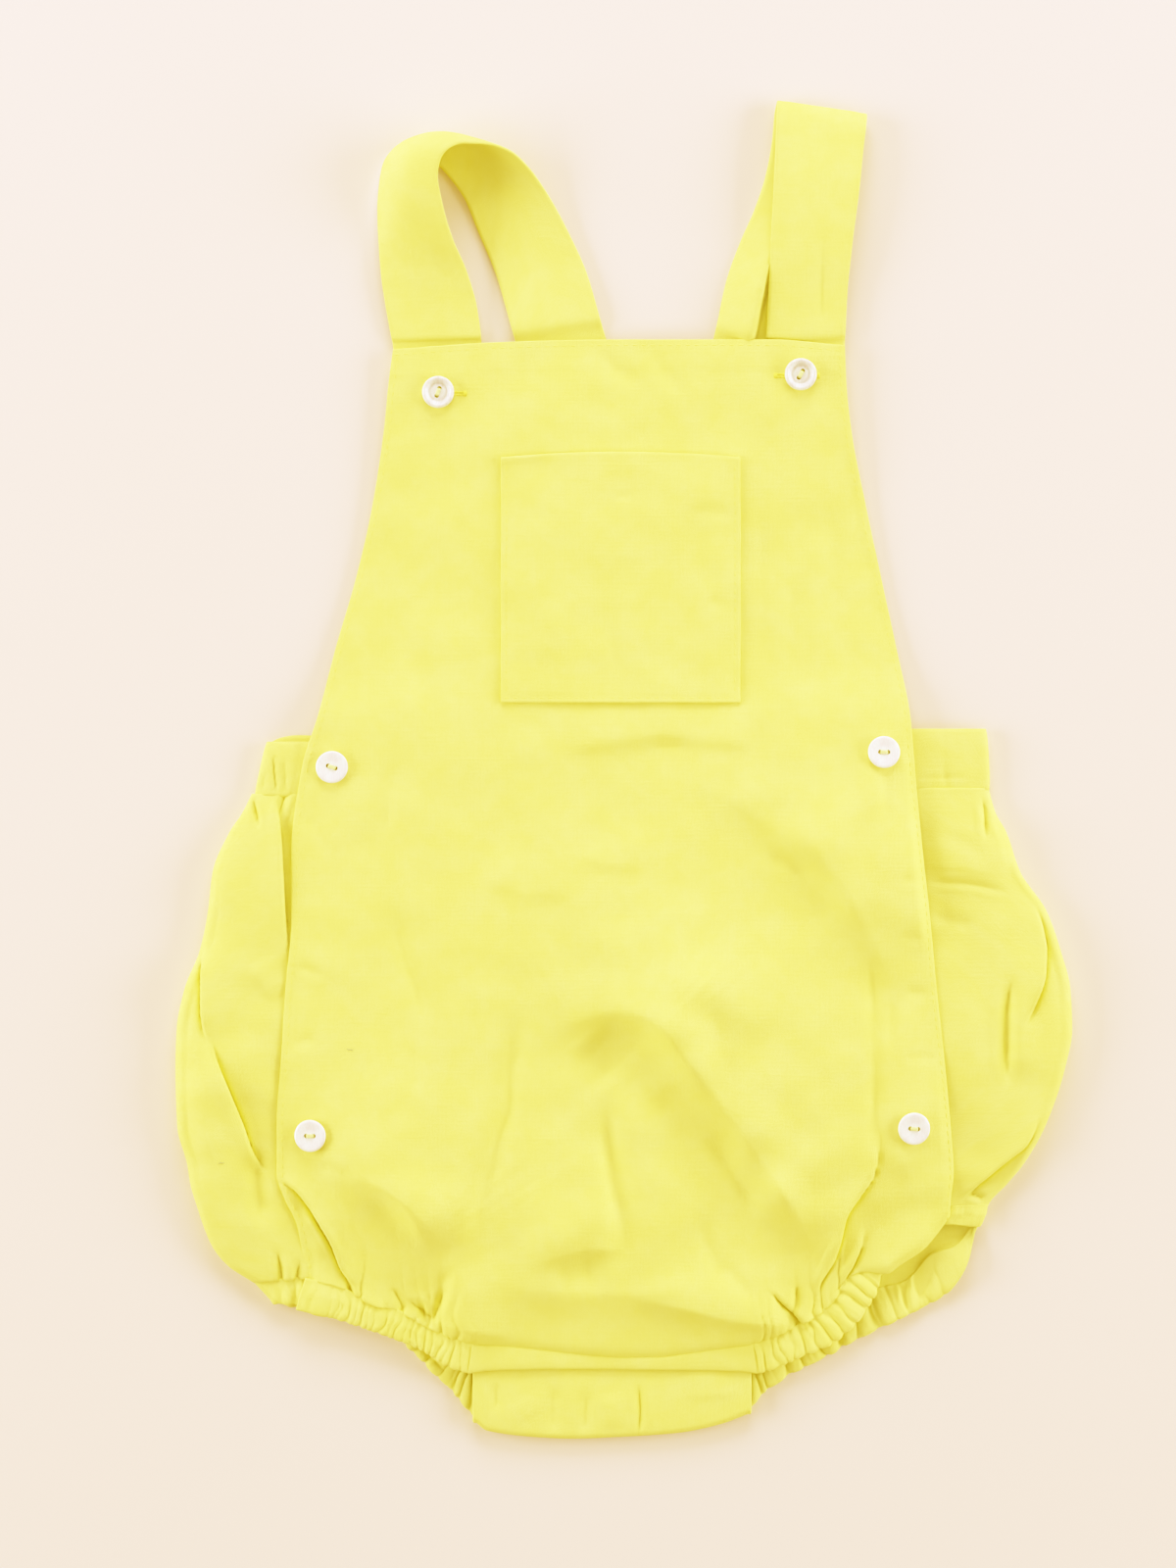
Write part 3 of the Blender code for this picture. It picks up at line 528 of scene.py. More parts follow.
threadLook = {
    "mottle": 2500.0,
    "shader": {"Roughness": 0.65, "Sheen Weight": 0.2},
    # the deeper and the paler colour of each
    "lime": ((0.70, 0.74, 0.30), (0.90, 0.90, 0.55)),
    "lemon": ((0.80, 0.75, 0.15), (0.90, 0.86, 0.28)),
    "bright": ((0.93, 0.86, 0.12), (0.96, 0.90, 0.22)),
}


def makeThreadMaterial(name, colours):
    return mottledMaterial(name, threadLook["shader"], threadLook["mottle"], 2.0, colours)


shellLook = {
    # its pale and its lilac growth bands: the bib's two buttons are greyer
    "flat": ((0.93, 0.90, 0.895), (0.80, 0.70, 0.765)),
    "dished": ((0.86, 0.83, 0.82), (0.62, 0.545, 0.60)),
    "cloud": 320.0, "cloudShare": 0.7,
    "band": 0.9, "bandShare": 0.5, "bandStretch": (2600.0, 500.0, 900.0), "bandDetail": (3.0, 0.6),
    "lilac": (0.52, 3.4),  # where in the mixture the lilac begins, and how sharply
    "shader": {
        "Roughness": 0.24, "Coat Weight": 0.35, "Coat Roughness": 0.12,
        "Subsurface Weight": 0.25, "Subsurface Radius": (1.0, 0.8, 0.8), "Subsurface Scale": mm * 0.8,
    },
}


def makeShellMaterial(name, white, lilac):
    look = shellLook
    made, tree, shader = newMaterial(name, look["shader"])
    link, maths, shareAbove, noise, stretch, blend = nodeMaker(tree)
    place = tree.nodes.new("ShaderNodeTexCoord").outputs["Object"]
    cloudy = maths("MULTIPLY", noise(place, look["cloud"]), look["cloudShare"])
    growth = noise(stretch(place, look["bandStretch"]), look["band"], *look["bandDetail"])
    mixed = maths("ADD", cloudy, maths("MULTIPLY", growth, look["bandShare"]))
    link(blend(shareAbove(mixed, *look["lilac"]), (*white, 1), (*lilac, 1)), shader.inputs["Base Color"])
    made.diffuse_color = (*white, 1)
    return made


floorLook = {
    "colour": (0.838, 0.685, 0.717), "darker": (0.985, 0.978, 0.965),  # the second is a share of the first
    "mottle": 5.0, "mottleDetail": 3.0,
    "size": 3000.0, "below": 0.05,
    "shader": {"Roughness": 0.75, "Specular IOR Level": 0.15},
}


def makeFloor():
    look = floorLook
    half, z = look["size"] / 2, -look["below"]
    corners = [(-half, -half, z), (half, -half, z), (half, half, z), (-half, half, z)]
    mesh = newMesh("floor", corners, [(0, 1, 2, 3)])
    colours = (look["colour"], [c * share for c, share in zip(look["colour"], look["darker"])])
    mesh.materials.append(
        mottledMaterial("creamPaper", look["shader"], look["mottle"], look["mottleDetail"], colours))
    floor = addObject("floor", mesh)


makeTone()
makeLights()
makeFloor()
clothMaterial = makeClothMaterial()
buttonThread, sewingThread, brightThread = (
    makeThreadMaterial(kind + "Thread", threadLook[kind]) for kind in ("lime", "lemon", "bright"))
shells = {kind: makeShellMaterial(kind + "Shell", *shellLook[kind]) for kind in ("flat", "dished")}
cloth = 0.4  # half the thickness of single cloth
double = 0.6  # half the thickness of cloth sewn double
print("materials and light made")


# the body's outline, as the solids have it

bodyRows = table(
    "y left right leftRadius rightRadius leftPuff rightPuff",
    (-8, -126.5, 123.5, 1.7, 1.7, 0.0, 0.0),
    (-15.5, -130.2, 125.7, 2.2, 2.0, 0.6, 0.4),
    (-22, -134.5, 129.3, 2.6, 2.4, 1.0, 0.7),
    (-35.5, -140.2, 134, 3.1, 2.9, 1.8, 1.2),
    (-49, -141.8, 143, 3.3, 3.3, 2.2, 1.7),
    (-62, -144.5, 147.6, 3.5, 3.5, 2.6, 2.2),
    (-75.5, -149.8, 151, 3.6, 3.6, 2.9, 2.5),
    (-89, -152.4, 151.6, 3.6, 3.6, 3.0, 2.6),
    (-102, -152.8, 149.2, 3.6, 3.5, 3.0, 2.3),
    (-122, -152.2, 142.4, 3.5, 3.2, 2.6, 1.6),
    (-135, -148.8, 135, 3.3, 2.4, 2.2, 0.8),
    (-141.5, -147.8, 129.6, 3.2, 2.0, 2.0, 0.3),
    (-149, -145.6, 123.2, 3.0, 1.8, 1.8, 0.3),
    (-162, -140.8, 121, 2.6, 1.8, 1.0, 0.3),
    (-169, -135.5, 121, 2.2, 1.8, 0.4, 0.3),
    (-175, -126.5, 121, 2.0, 1.8, 0.0, 0.3),
)
# free edges of the back's two wings, under the sides of the front
wingEdges = table(
    "y left right z",
    (12, -97, 87, 4.0), (-28, -103, 90, 4.6), (-75, -105, 95, 6.0),
    (-122, -107, 99, 5.8), (-150, -103, 100, 5.2), (-185, -101, 100, 4.6),
)
# leg edges of the back: the casing's seam, then its free edge
backLeftLeg = table(
    "x y outX outY",
    (-126.5, -175, -119.5, -182.3), (-112, -174, -110, -184), (-98, -175.5, -98, -186),
    (-86, -178.5, -89, -189), (-74, -184, -79, -193), (-64, -190.5, -71.5, -199.5),
    (-57.4, -197, -65.2, -206), (-53.2, -202.5, -58.4, -213), (-51, -205.8, -51, -222),
)
backRightLeg = table(
    "x y outX outY",
    (123.2, -149, 120.6, -156), (120.6, -152.6, 119.4, -159.6), (117, -158, 118.2, -164.4),
    (112.4, -163.4, 115.5, -171), (104.4, -166.2, 110.3, -178), (95.5, -175.4, 99, -184.6),
    (84, -178.5, 88.8, -189.6), (73, -185, 76.8, -195.4), (63, -190.5, 68.6, -200),
    (54, -196, 57.8, -205.4), (46, -202, 49, -211), (41.8, -205.8, 41.8, -218.5),
)
# where a leg's back edge turns up from the floor: a place, how far around it and how high
legCurls = {
    "left": ((-118, -183, 10, 0.6),),
    "right": ((112, -169, 10, 4.6), (92, -186, 8, 1.8)),
    "starts": 0.06,  # share of the edge over which the curls begin, from where it folds over
    "seam": 0.6,  # the back and the casing's seam rise this share of what the free edge rises
    "inward": 3.0,  # how far in from the seam the back still rises
}
wingLegEnds = {"left": (-101, -173, -101, -183.5), "right": (100, -150, 101, -154.4)}
frontRows = table(
    "y left right",
    (143, -79, 74.5), (131, -80.6, 75), (115, -82.2, 76.7), (88, -86.4, 82), (64.5, -91.8, 87),
    (41, -98.6, 92), (18, -104.5, 96.5), (0, -110, 98), (-28, -113.5, 100.5), (-52, -113.5, 103),
    (-75, -115.5, 105), (-99, -117, 107.5), (-122, -118.5, 109.5), (-138, -118.5, 110.5),
    (-146, -116, 109.5), (-156, -111.5, 109), (-174, -109, 109), (-197, -109, 109),
)
frontTop = table("x y", (-79, 142.2), (-46, 144.5), (-6, 145.5), (50, 145.5), (74.5, 143.5))
frontHeights = table(
    "y left middle right",
    (146, 3.9, 5.0, 5.2), (115, 3.5, 5.0, 4.6), (88, 2.4, 5.0, 2.8), (60, 2.0, 5.2, 2.2),
    (35, 3.0, 5.4, 3.0), (14, 6.1, 5.6, 6.1), (-10, 6.5, 6.2, 6.5), (-35, 7.6, 7.6, 7.4),
    (-75, 8.4, 9.2, 8.3), (-110, 8.4, 9.8, 8.2), (-140, 7.8, 10.0, 7.2), (-170, 7.2, 9.8, 6.6),
    (-200, 6.4, 9.0, 6.4),
)
frontLeftLeg = table(
    "x y outX outY",
    (-109, -174, -112, -184.2), (-98.5, -176.2, -100.2, -186.8), (-89.5, -180.5, -91.5, -189.5),
    (-78, -184.4, -80.5, -193.3), (-68, -190, -70.2, -197.4), (-59, -193.8, -61.5, -202.8),
    (-51, -196.2, -53, -206),
)
frontRightLeg = table(
    "x y outX outY",
    (109, -144.5, 110.3, -154.5), (97.5, -155.5, 102.2, -165), (88, -162, 92.6, -171.5),
    (77.5, -171.5, 85, -179), (70, -182, 78, -188.6), (64, -187, 69.8, -195.6),
    (57, -190.5, 60.5, -199.5), (49.5, -193.6, 52.2, -203.4), (42.3, -196.2, 44.2, -206),
)
crotchTopZ = 5.7  # height of the seam between the front and its crotch band
frontLegHeight = table(
    "x z",
    (-109, 6.2), (-90, 6.0), (-70, 5.4), (-51, crotchTopZ), (42, crotchTopZ),
    (62, 5.4), (82, 5.8), (98, 6.6), (109, 6.7),
)
waistTop = table("x y", (-127, 7.2), (-112, 11), (-85, 9), (-60, 8.5), (60, 12), (124, 13.2))
waistSeam = table("x y", (-127, -9.6), (-60, -9.2), (60, -8), (124, -7.6))
# the seam in the middle, where the body sags over the front's band
frontSag = table(
    "x y",
    (-51, -196.2), (-40, -196.9), (-30, -198), (-20, -199), (-10, -200), (0, -200.7), (12, -200.5),
    (20, -199.5), (28, -198.2), (36, -197), (42.3, -196.2),
)


def legEdgeY(x):
    left, right = column(frontLeftLeg, "y", x), column(frontRightLeg, "y", x)
    middle = column(frontSag, "y", x)
    return np.where(x < frontLeftLeg["x"][-1], left, np.where(x > frontRightLeg["x"][-1], right, middle))


def acrossAt(rows, y, share):
    # X at this share of the way from a table's left to its right, at this height.
    left, right = column(rows, "left", y), column(rows, "right", y)
    return left + (right - left) * share


def shareAcross(rows, x, y):
    left, right = column(rows, "left", y), column(rows, "right", y)
    return (x - left) / (right - left)


def curledUp(x, y, curls):
    return sum(rise * bell(np.hypot(x - atX, y - atY) / reach) for atX, atY, reach, rise in curls)


def lowerEdge(leftLeg, rightLeg, stations):
    left = alongTable(leftLeg, np.linspace(0, 1, stations[0] + 1))
    right = alongTable(rightLeg, np.linspace(1, 0, stations[2] + 1))
    middle = np.linspace(0, 1, stations[1] + 1)[1:-1]
    edge = []
    for axis in "xy":
        start, end = left[axis][-1], right[axis][0]
        edge.append(np.concatenate([left[axis], start + (end - start) * middle, right[axis]]))
    return edge


# the front: bib and body in one

front = {
    "stations": (84, 96, 94), "rows": 318, "underEvery": 5,
    # how far down each share of the rows lies: close at the top hem and over the folded body
    "rowsDown": table("share down", (0, 0), (0.02, 0.006), (0.25, 0.41), (0.46, 0.645), (1, 1)),
    "spread": 2.0,  # how late, going down, the stations move out to the leg edges
    "rise": 24.0,  # the front climbs from its leg and crotch edges over this
    # Right of a place the front rolls out over its own casing, by a share of the casing's width,
    # and curls down. Rise and drop are each a height, and how far up from the edge it fades.
    "rollFrom": 76.0, "rollWidth": 10.0, "rollOut": 0.82, "rollRise": (2.2, 9.0), "rollDrop": (3.6, 1.5),
    # gathers above the legs: how far they wander, from what depth a valley is a broad gather's too,
    # and the height of fine and broad ones with how far up each fades
    "wander": 1.3, "deepValley": 0.65, "fine": (0.8, 5.0), "broad": (0.9, 13.0),
    "lumps": ((0.6, 34), (0.7, 17), (0.32, 8.5)),
    "lumpsFrom": -215.0, "lumpsOver": 40.0,  # the unevenness grows, going up, from here over this
    "sideHeld": 0.2, "sideFree": 4.0,  # the share of folds left at the sides, and where they are whole
    # the body's roll over the crotch band: its two ends, how soon each fades, its height and length,
    # and how far it turns in at the seam
    "bandRoll": (-66.0, 58.0), "bandRollEnds": 14.0, "bandRollRise": 2.6, "bandRollStart": 2.0,
    "bandRollLength": 26.0, "bandRollTuck": 0.5, "bandRollTuckLength": 0.8,
    # how far its sides sink towards the wings, how far in, and below what height
    "settle": 0.5, "settleWidth": 16.0, "settleBelow": 10.0,
    "hem": 9.0, "hemStep": 0.22, "hemSoft": 1.5,
    "edgeStitch": 1.8, "stitchDent": 0.03, "sideDentWidth": 0.7, "topDentWidth": 0.9,
    "edgeThin": 0.4, "edgeThinWidth": 1.6,  # the sides thin out to this share of the cloth
    "folds": (
        # the inverted V below the middle: cloth swells above it and falls away below
        ("billow", 12.0, 3.0, (-28, -93), (-16, -85.5), (-5, -82.5), (5, -83.5), (12, -88), (20, -98),
         (28, -109)),
        ("billow", 14.0, 9.0, (-9, -78), (2, -81), (11, -86.5), (21, -99), (30, -110.5), (39, -123),
         (49, -137), (58, -151), (68, -168)),
        ("billow", 8.0, 2.2, (-12, -84), (-3, -82), (6, -84), (14, -90), (19, -98)),
        ("soft", 9.0, 2.4, (-3, -104), (5, -122), (11, -146), (15, -174)),
        ("soft", 7.0, -1.6, (-15, -92), (-9, -99), (-3, -108)),
        ("soft", 3.0, -1.4, (28, -124), (38, -139), (48, -154)),
        # the hooked crease left of the middle
        ("billow", 6.0, 1.0, (-2.6, -166), (-4.2, -156), (-6, -148), (-8.4, -138), (-9.6, -126),
         (-10, -100)),
        ("billow", 7.5, 3.6, (-34, -168), (-22, -165), (-11, -162.5), (1, -163)),
        ("soft", 4.0, -2.5, (-1, -166), (-2.4, -152), (-5, -138), (-8, -108)),
        ("soft", 8.0, -2.6, (-28, -172), (-16, -170), (-6, -168)),
        ("billow", 12.0, 2.4, (-56, -170), (-30, -177), (0, -178), (30, -174)),
        ("soft", 4.2, -1.9, (-37, -78), (-38, -100), (-40, -112), (-42, -122), (-47, -140), (-52, -168)),
        ("soft", 1.6, -0.5, (-37, -82), (-40, -101), (-39, -115), (-44, -128), (-45, -142)),
        ("soft", 2.4, -0.8, (-72, -92), (-71, -112)),
        # upper body
        ("billow", 3.6, 1.6, (-22, 6), (-4, 9), (10, 10.4), (18, 10.4), (30, 9), (46, 8)),
        ("soft", 1.6, -0.7, (7, 8), (14, 8.4), (22, 8)),
        ("billow", 4.0, 1.5, (-16, -28), (-6, -33), (8, -34)),
        ("billow", 5.0, 1.0, (-50, -36), (-34, -42), (-16, -43)),
        ("billow", 11.0, 3.4, (20, -2), (36, -10), (46, -17), (58, -25), (70, -38), (80, -53), (87, -70)),
        ("billow", 14.0, 4.4, (44, -10), (58, -21), (70, -34), (80, -49), (87, -64), (92, -82)),
        ("soft", 3.0, -1.0, (46, -29), (56, -33), (65, -38)),
        ("soft", 2.4, -0.8, (88, 2), (88, -22)),
        ("soft", 2.6, -0.9, (-80, 3), (-81, -12), (-82, -27)),
        ("soft", 3.4, -1.5, (-80, -44), (-77, -58), (-71, -75), (-66, -90)),
        ("soft", 2.2, -0.6, (-112, -16), (-106, -20), (-101, -32)),
        ("soft", 2.0, -0.6, (-114, -67), (-107, -69), (-101, -72)),
        ("soft", 2.0, -0.4, (-115, -94), (-104, -92)),
        ("soft", 1.8, -0.5, (92, -38), (101, -38.5)),
        ("soft", 1.8, -0.5, (92, -57), (102, -58)),
        ("soft", 1.8, -0.5, (94, -76), (104, -77)),
        ("soft", 1.8, -0.5, (93, -98), (107, -99)),
        # two soft verticals by the right buttons, which sharpen into the long dark crease
        ("soft", 2.6, -1.5, (83.5, -56), (84, -75), (84.2, -95), (84.6, -116), (84, -138)),
        ("soft", 1.8, -0.8, (90, -76), (90, -100)),
        ("tuck", 4.2, 2.6, (63, -182), (66, -175), (70, -167), (72, -160), (74, -152), (79, -144),
         (83, -138), (85, -128), (85.5, -118)),
        ("tuck", 3.0, 1.8, (72, -177), (76, -170), (79, -163), (81, -154)),
        ("billow", 7.0, 1.2, (92, -126), (97, -140), (100, -152)),
        # left side: the wing's long fold runs on across the front down to the casing
        ("tuck", 4.5, 3.0, (-120, -139), (-113, -142), (-108, -147), (-103, -155), (-99, -162), (-96, -170),
         (-92.5, -176), (-91, -181)),
        ("soft", 4.0, 1.2, (-112, -150), (-106, -158), (-102, -168)),
        ("pinch", 1.6, -2.4, (-93, -173), (-93.8, -180), (-94, -190)),
        ("tuck", 2.6, 1.6, (-92, -177), (-88, -181), (-79, -184.5)),
        ("soft", 2.4, -0.7, (-106, -134), (-90, -138.5)),
        ("billow", 13.0, 5.4, (-112, -130), (-94, -136), (-79, -144), (-66, -156), (-56, -172)),
        ("billow", 5.0, 3.0, (-96, -138), (-84, -141.5), (-76, -147), (-70, -156), (-65, -167)),
        ("billow", 5.5, 1.3, (-52, -144), (-55, -158), (-57, -170), (-60, -180), (-66, -188)),
        ("pinch", 2.2, -2.4, (-75, -180), (-68, -185.5), (-61, -189)),
        ("pinch", 1.5, -1.8, (-61, -176), (-63.5, -183), (-66, -190)),
        ("soft", 2.4, -1.4, (-60, -168), (-62, -178), (-66, -187)),
        ("pinch", 1.5, -1.6, (-80, -176), (-77, -181), (-75, -187)),
        ("pinch", 1.4, -1.6, (-69, -180), (-68, -191)),
        ("billow", 3.4, 1.8, (-66, -186), (-60, -189.5), (-52, -191.5), (-38, -193)),
        # right corner, above the casing
        ("billow", 4.0, 3.8, (2, -179), (12, -181.5), (24, -184.5), (36, -187.5), (50, -189), (58, -188)),
        ("tuck", 2.8, 2.2, (48, -176), (55, -182), (60, -187), (64, -194)),
        ("pinch", 1.4, -1.6, (58, -175), (58.3, -186)),
        ("soft", 2.6, -1.0, (32, -166), (38, -174), (43, -182)),
        ("soft", 3.2, -0.9, (24, -148), (30, -168), (37, -180)),
        # the bib
        ("soft", 3.2, -0.9, (-12, 144), (-4, 136), (8, 128)),
        ("soft", 3.0, -0.9, (8, 146), (12, 136), (23, 125)),
        ("soft", 5.0, -0.4, (-30, 113), (-8, 112), (22, 114)),
        ("soft", 3.0, -0.6, (46, 102), (46.5, 70), (46, 36)),
        ("soft", 3.0, 0.5, (51, 66), (52, 42), (53, 22)),
        ("soft", 2.4, -0.5, (57, 66), (56.5, 52), (55, 38)),
        ("soft", 4.0, 0.7, (62, 86), (63.5, 62), (65, 38)),
        ("soft", 4.0, -0.7, (70, 100), (71, 66), (76, 26)),
        ("soft", 3.0, -0.4, (-60, 100), (-56, 60), (-58, 30)),
        ("soft", 3.0, -0.5, (-70, 118), (-65, 113)),
        ("soft", 4.0, -0.5, (-86, 60), (-70, 32), (-62, 6)),
        # the sharp dark creases at the two leg corners
        ("pinch", 1.1, -3.0, (-108.7, -147.4), (-103.7, -155.4), (-99.7, -162.4), (-96.7, -170)),
        ("pinch", 1.1, -2.4, (73, -158.5), (70.4, -165), (67, -173), (64.6, -178)),
        ("pinch", 1.0, -2.2, (80.4, -162.6), (77, -169), (73.4, -174.6)),
    ),
    # valleys of the gathers above each leg, by X, with how deep they are
    "leftValleys": (
        (-106, 0.15), (-99.2, 0.35), (-97.2, 0.45), (-96, 0.35), (-93.7, 1.2), (-91.6, 0.4), (-89.2, 1.0),
        (-86.8, 0.35), (-84.2, 0.3), (-81.5, 0.6), (-78.8, 0.3), (-76.5, 0.7), (-73.8, 0.35),
        (-71.5, 0.75), (-69.5, 0.55), (-67.2, 1.0), (-64.8, 0.6), (-62.5, 0.9), (-60.2, 0.6),
        (-57.5, 0.8), (-54.8, 0.5), (-52.5, 0.4),
    ),
    "rightValleys": (
        (43.6, 0.4), (46.5, 0.8), (49.2, 0.8), (51.8, 0.5), (54.8, 0.5), (57.8, 0.9), (61.2, 0.6),
        (64.2, 1.0), (67.2, 0.8), (70.2, 0.6), (73.2, 1.1), (75.8, 0.9), (79.2, 0.6), (82.5, 0.25),
        (90, 0.1), (103.8, 0.1),
    ),
}


def frontHeight(x, y):
    left, right = column(frontRows, "left", y), column(frontRows, "right", y)
    place = np.clip((2 * x - left - right) / (right - left), -1, 1)
    heights = {name: column(frontHeights, name, y) for name in ("left", "middle", "right")}
    side = np.where(place < 0, heights["left"], heights["right"])
    z = heights["middle"] + (side - heights["middle"]) * ease(np.abs(place)) ** 1.2
    rise = ease((y - legEdgeY(x)) / front["rise"])
    atLeg = column(frontLegHeight, "z", x)
    return atLeg + (z - atLeg) * rise


def rollingOut(x):
    # The share, from 0 to 1, to which the front's right leg edge rolls out here.
    return ease((x - front["rollFrom"]) / front["rollWidth"])


def frontGrid():
    # The front seen from above, in columns from its leg edge up, and how far each rolls out.
    stations = front["stations"]
    share = np.linspace(0, 1, sum(stations) + 1)
    topX = frontRows["left"][0] + (frontRows["right"][0] - frontRows["left"][0]) * share
    topY = column(frontTop, "y", topX)
    legX, lowY = lowerEdge(frontLeftLeg, frontRightLeg, stations)
    lowY[stations[0]:-stations[2]] = legEdgeY(legX[stations[0]:-stations[2]])
    rightLeg = alongTable(frontRightLeg, np.linspace(1, 0, stations[2] + 1))
    ownLeg = slice(-stations[2] - 1, None)
    rolled = np.zeros(len(legX))
    rolled[ownLeg] = rollingOut(rightLeg["x"])
    legX[ownLeg] += (rightLeg["outX"] - rightLeg["x"]) * rolled[ownLeg] * front["rollOut"]
    lowY[ownLeg] += (rightLeg["outY"] - rightLeg["y"]) * rolled[ownLeg] * front["rollOut"]
    lowPlace = shareAcross(frontRows, legX, lowY)
    rows = []
    for down in column(front["rowsDown"], "down", np.linspace(0, 1, front["rows"])):
        y = topY + (lowY - topY) * down
        place = share + (lowPlace - share) * down ** front["spread"]
        rows.append(np.stack([acrossAt(frontRows, y, place), y], axis=1))
    return np.stack(rows, axis=1)[:, ::-1], rolled[:, None]


def legGathers(x, y, up):
    # Gathers that fan up from the two leg seams. up is how far above its seam each place is.
    look = front
    stations = look["stations"]
    height = np.zeros_like(x)
    for valleys, cut, seed in ((look["leftValleys"], slice(0, stations[0] + 1), 4),
                               (look["rightValleys"], slice(stations[0] + stations[1], None), 5)):
        wander = look["wander"] * softNoise(x[cut], y[cut], 7, 11) * ease(up[cut] / 3)
        fine = gatherAt(x[cut, :1] + wander, valleys, up[cut] / 8, seed)
        deep = [valley for valley in valleys if valley[1] > look["deepValley"]]
        ends = [(valleys[0][0], 0.2), *deep, (valleys[-1][0], 0.2)]
        broad = gatherAt(x[cut, :1] + 1.6 * wander, ends, up[cut] / 14, seed + 2)
        fine = fine * np.exp(-up[cut] / look["fine"][1]) * look["fine"][0]
        height[cut] = fine + broad * np.exp(-up[cut] / look["broad"][1]) * look["broad"][0]
    return height


def makeFront():
    look = front
    flat, rolled = frontGrid()
    x, y = flat[..., 0].copy(), flat[..., 1].copy()
    up = y - y[:, :1]
    z = frontHeight(x, y) + legGathers(x, y, up)
    rise, drop = (height * np.exp(-up / length) for height, length in (look["rollRise"], look["rollDrop"]))
    z = z + rolled * (rise - drop)

    # the listed folds, then the soft unevenness of washed linen
    height, shiftX, shiftY = folded(x, y, look["folds"], 3)
    fromSide = np.minimum(x - x[:1], x[-1:] - x)
    free = ease(fromSide / look["sideFree"]) * (1 - look["sideHeld"]) + look["sideHeld"]
    lumps = lumpsAt(x, y, look["lumps"], 5) * ease((y - look["lumpsFrom"]) / look["lumpsOver"])
    z = z + (height + lumps) * free
    x = x + shiftX * free
    y = y + shiftY * free

    # the roll of the body over the crotch band, and the sides settling on the wings
    start, end = look["bandRoll"]
    overBand = ease((x - start) / look["bandRollEnds"]) * ease((end - x) / look["bandRollEnds"])
    roll = look["bandRollRise"] * (1 - np.exp(-up / look["bandRollStart"]))
    roll = roll * np.exp(-up / look["bandRollLength"])
    z = z + overBand * (roll - look["bandRollTuck"] * np.exp(-up / look["bandRollTuckLength"]))
    inFromSide = 1 - ease(fromSide / look["settleWidth"])
    z = z - look["settle"] * inFromSide * ease((look["settleBelow"] - y) / look["settleWidth"])

    # hems: a little step where each is stitched down, and a dent along the edge stitching
    fromTop = y[:, -1:] - y
    dent = bell((fromSide - look["edgeStitch"]) / look["sideDentWidth"])
    dent = dent + bell((fromTop - look["edgeStitch"]) / look["topDentWidth"])
    step = look["hemStep"] * (1 - ease((fromTop - look["hem"]) / look["hemSoft"]))
    z = z - look["stitchDent"] * dent + step
    points = np.stack([x, y, z], axis=2)
    thin = cloth * (look["edgeThin"] + (1 - look["edgeThin"]) * ease(fromSide / look["edgeThinWidth"]))
    made = clothSheet("front", points, thin, thin, flat, 1, look["underEvery"])
    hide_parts("front_panel")
    return made, points


frontPiece, frontPoints = makeFront()
print("front made", len(frontPiece.data.vertices))


# the back, which wraps round both sides to the front

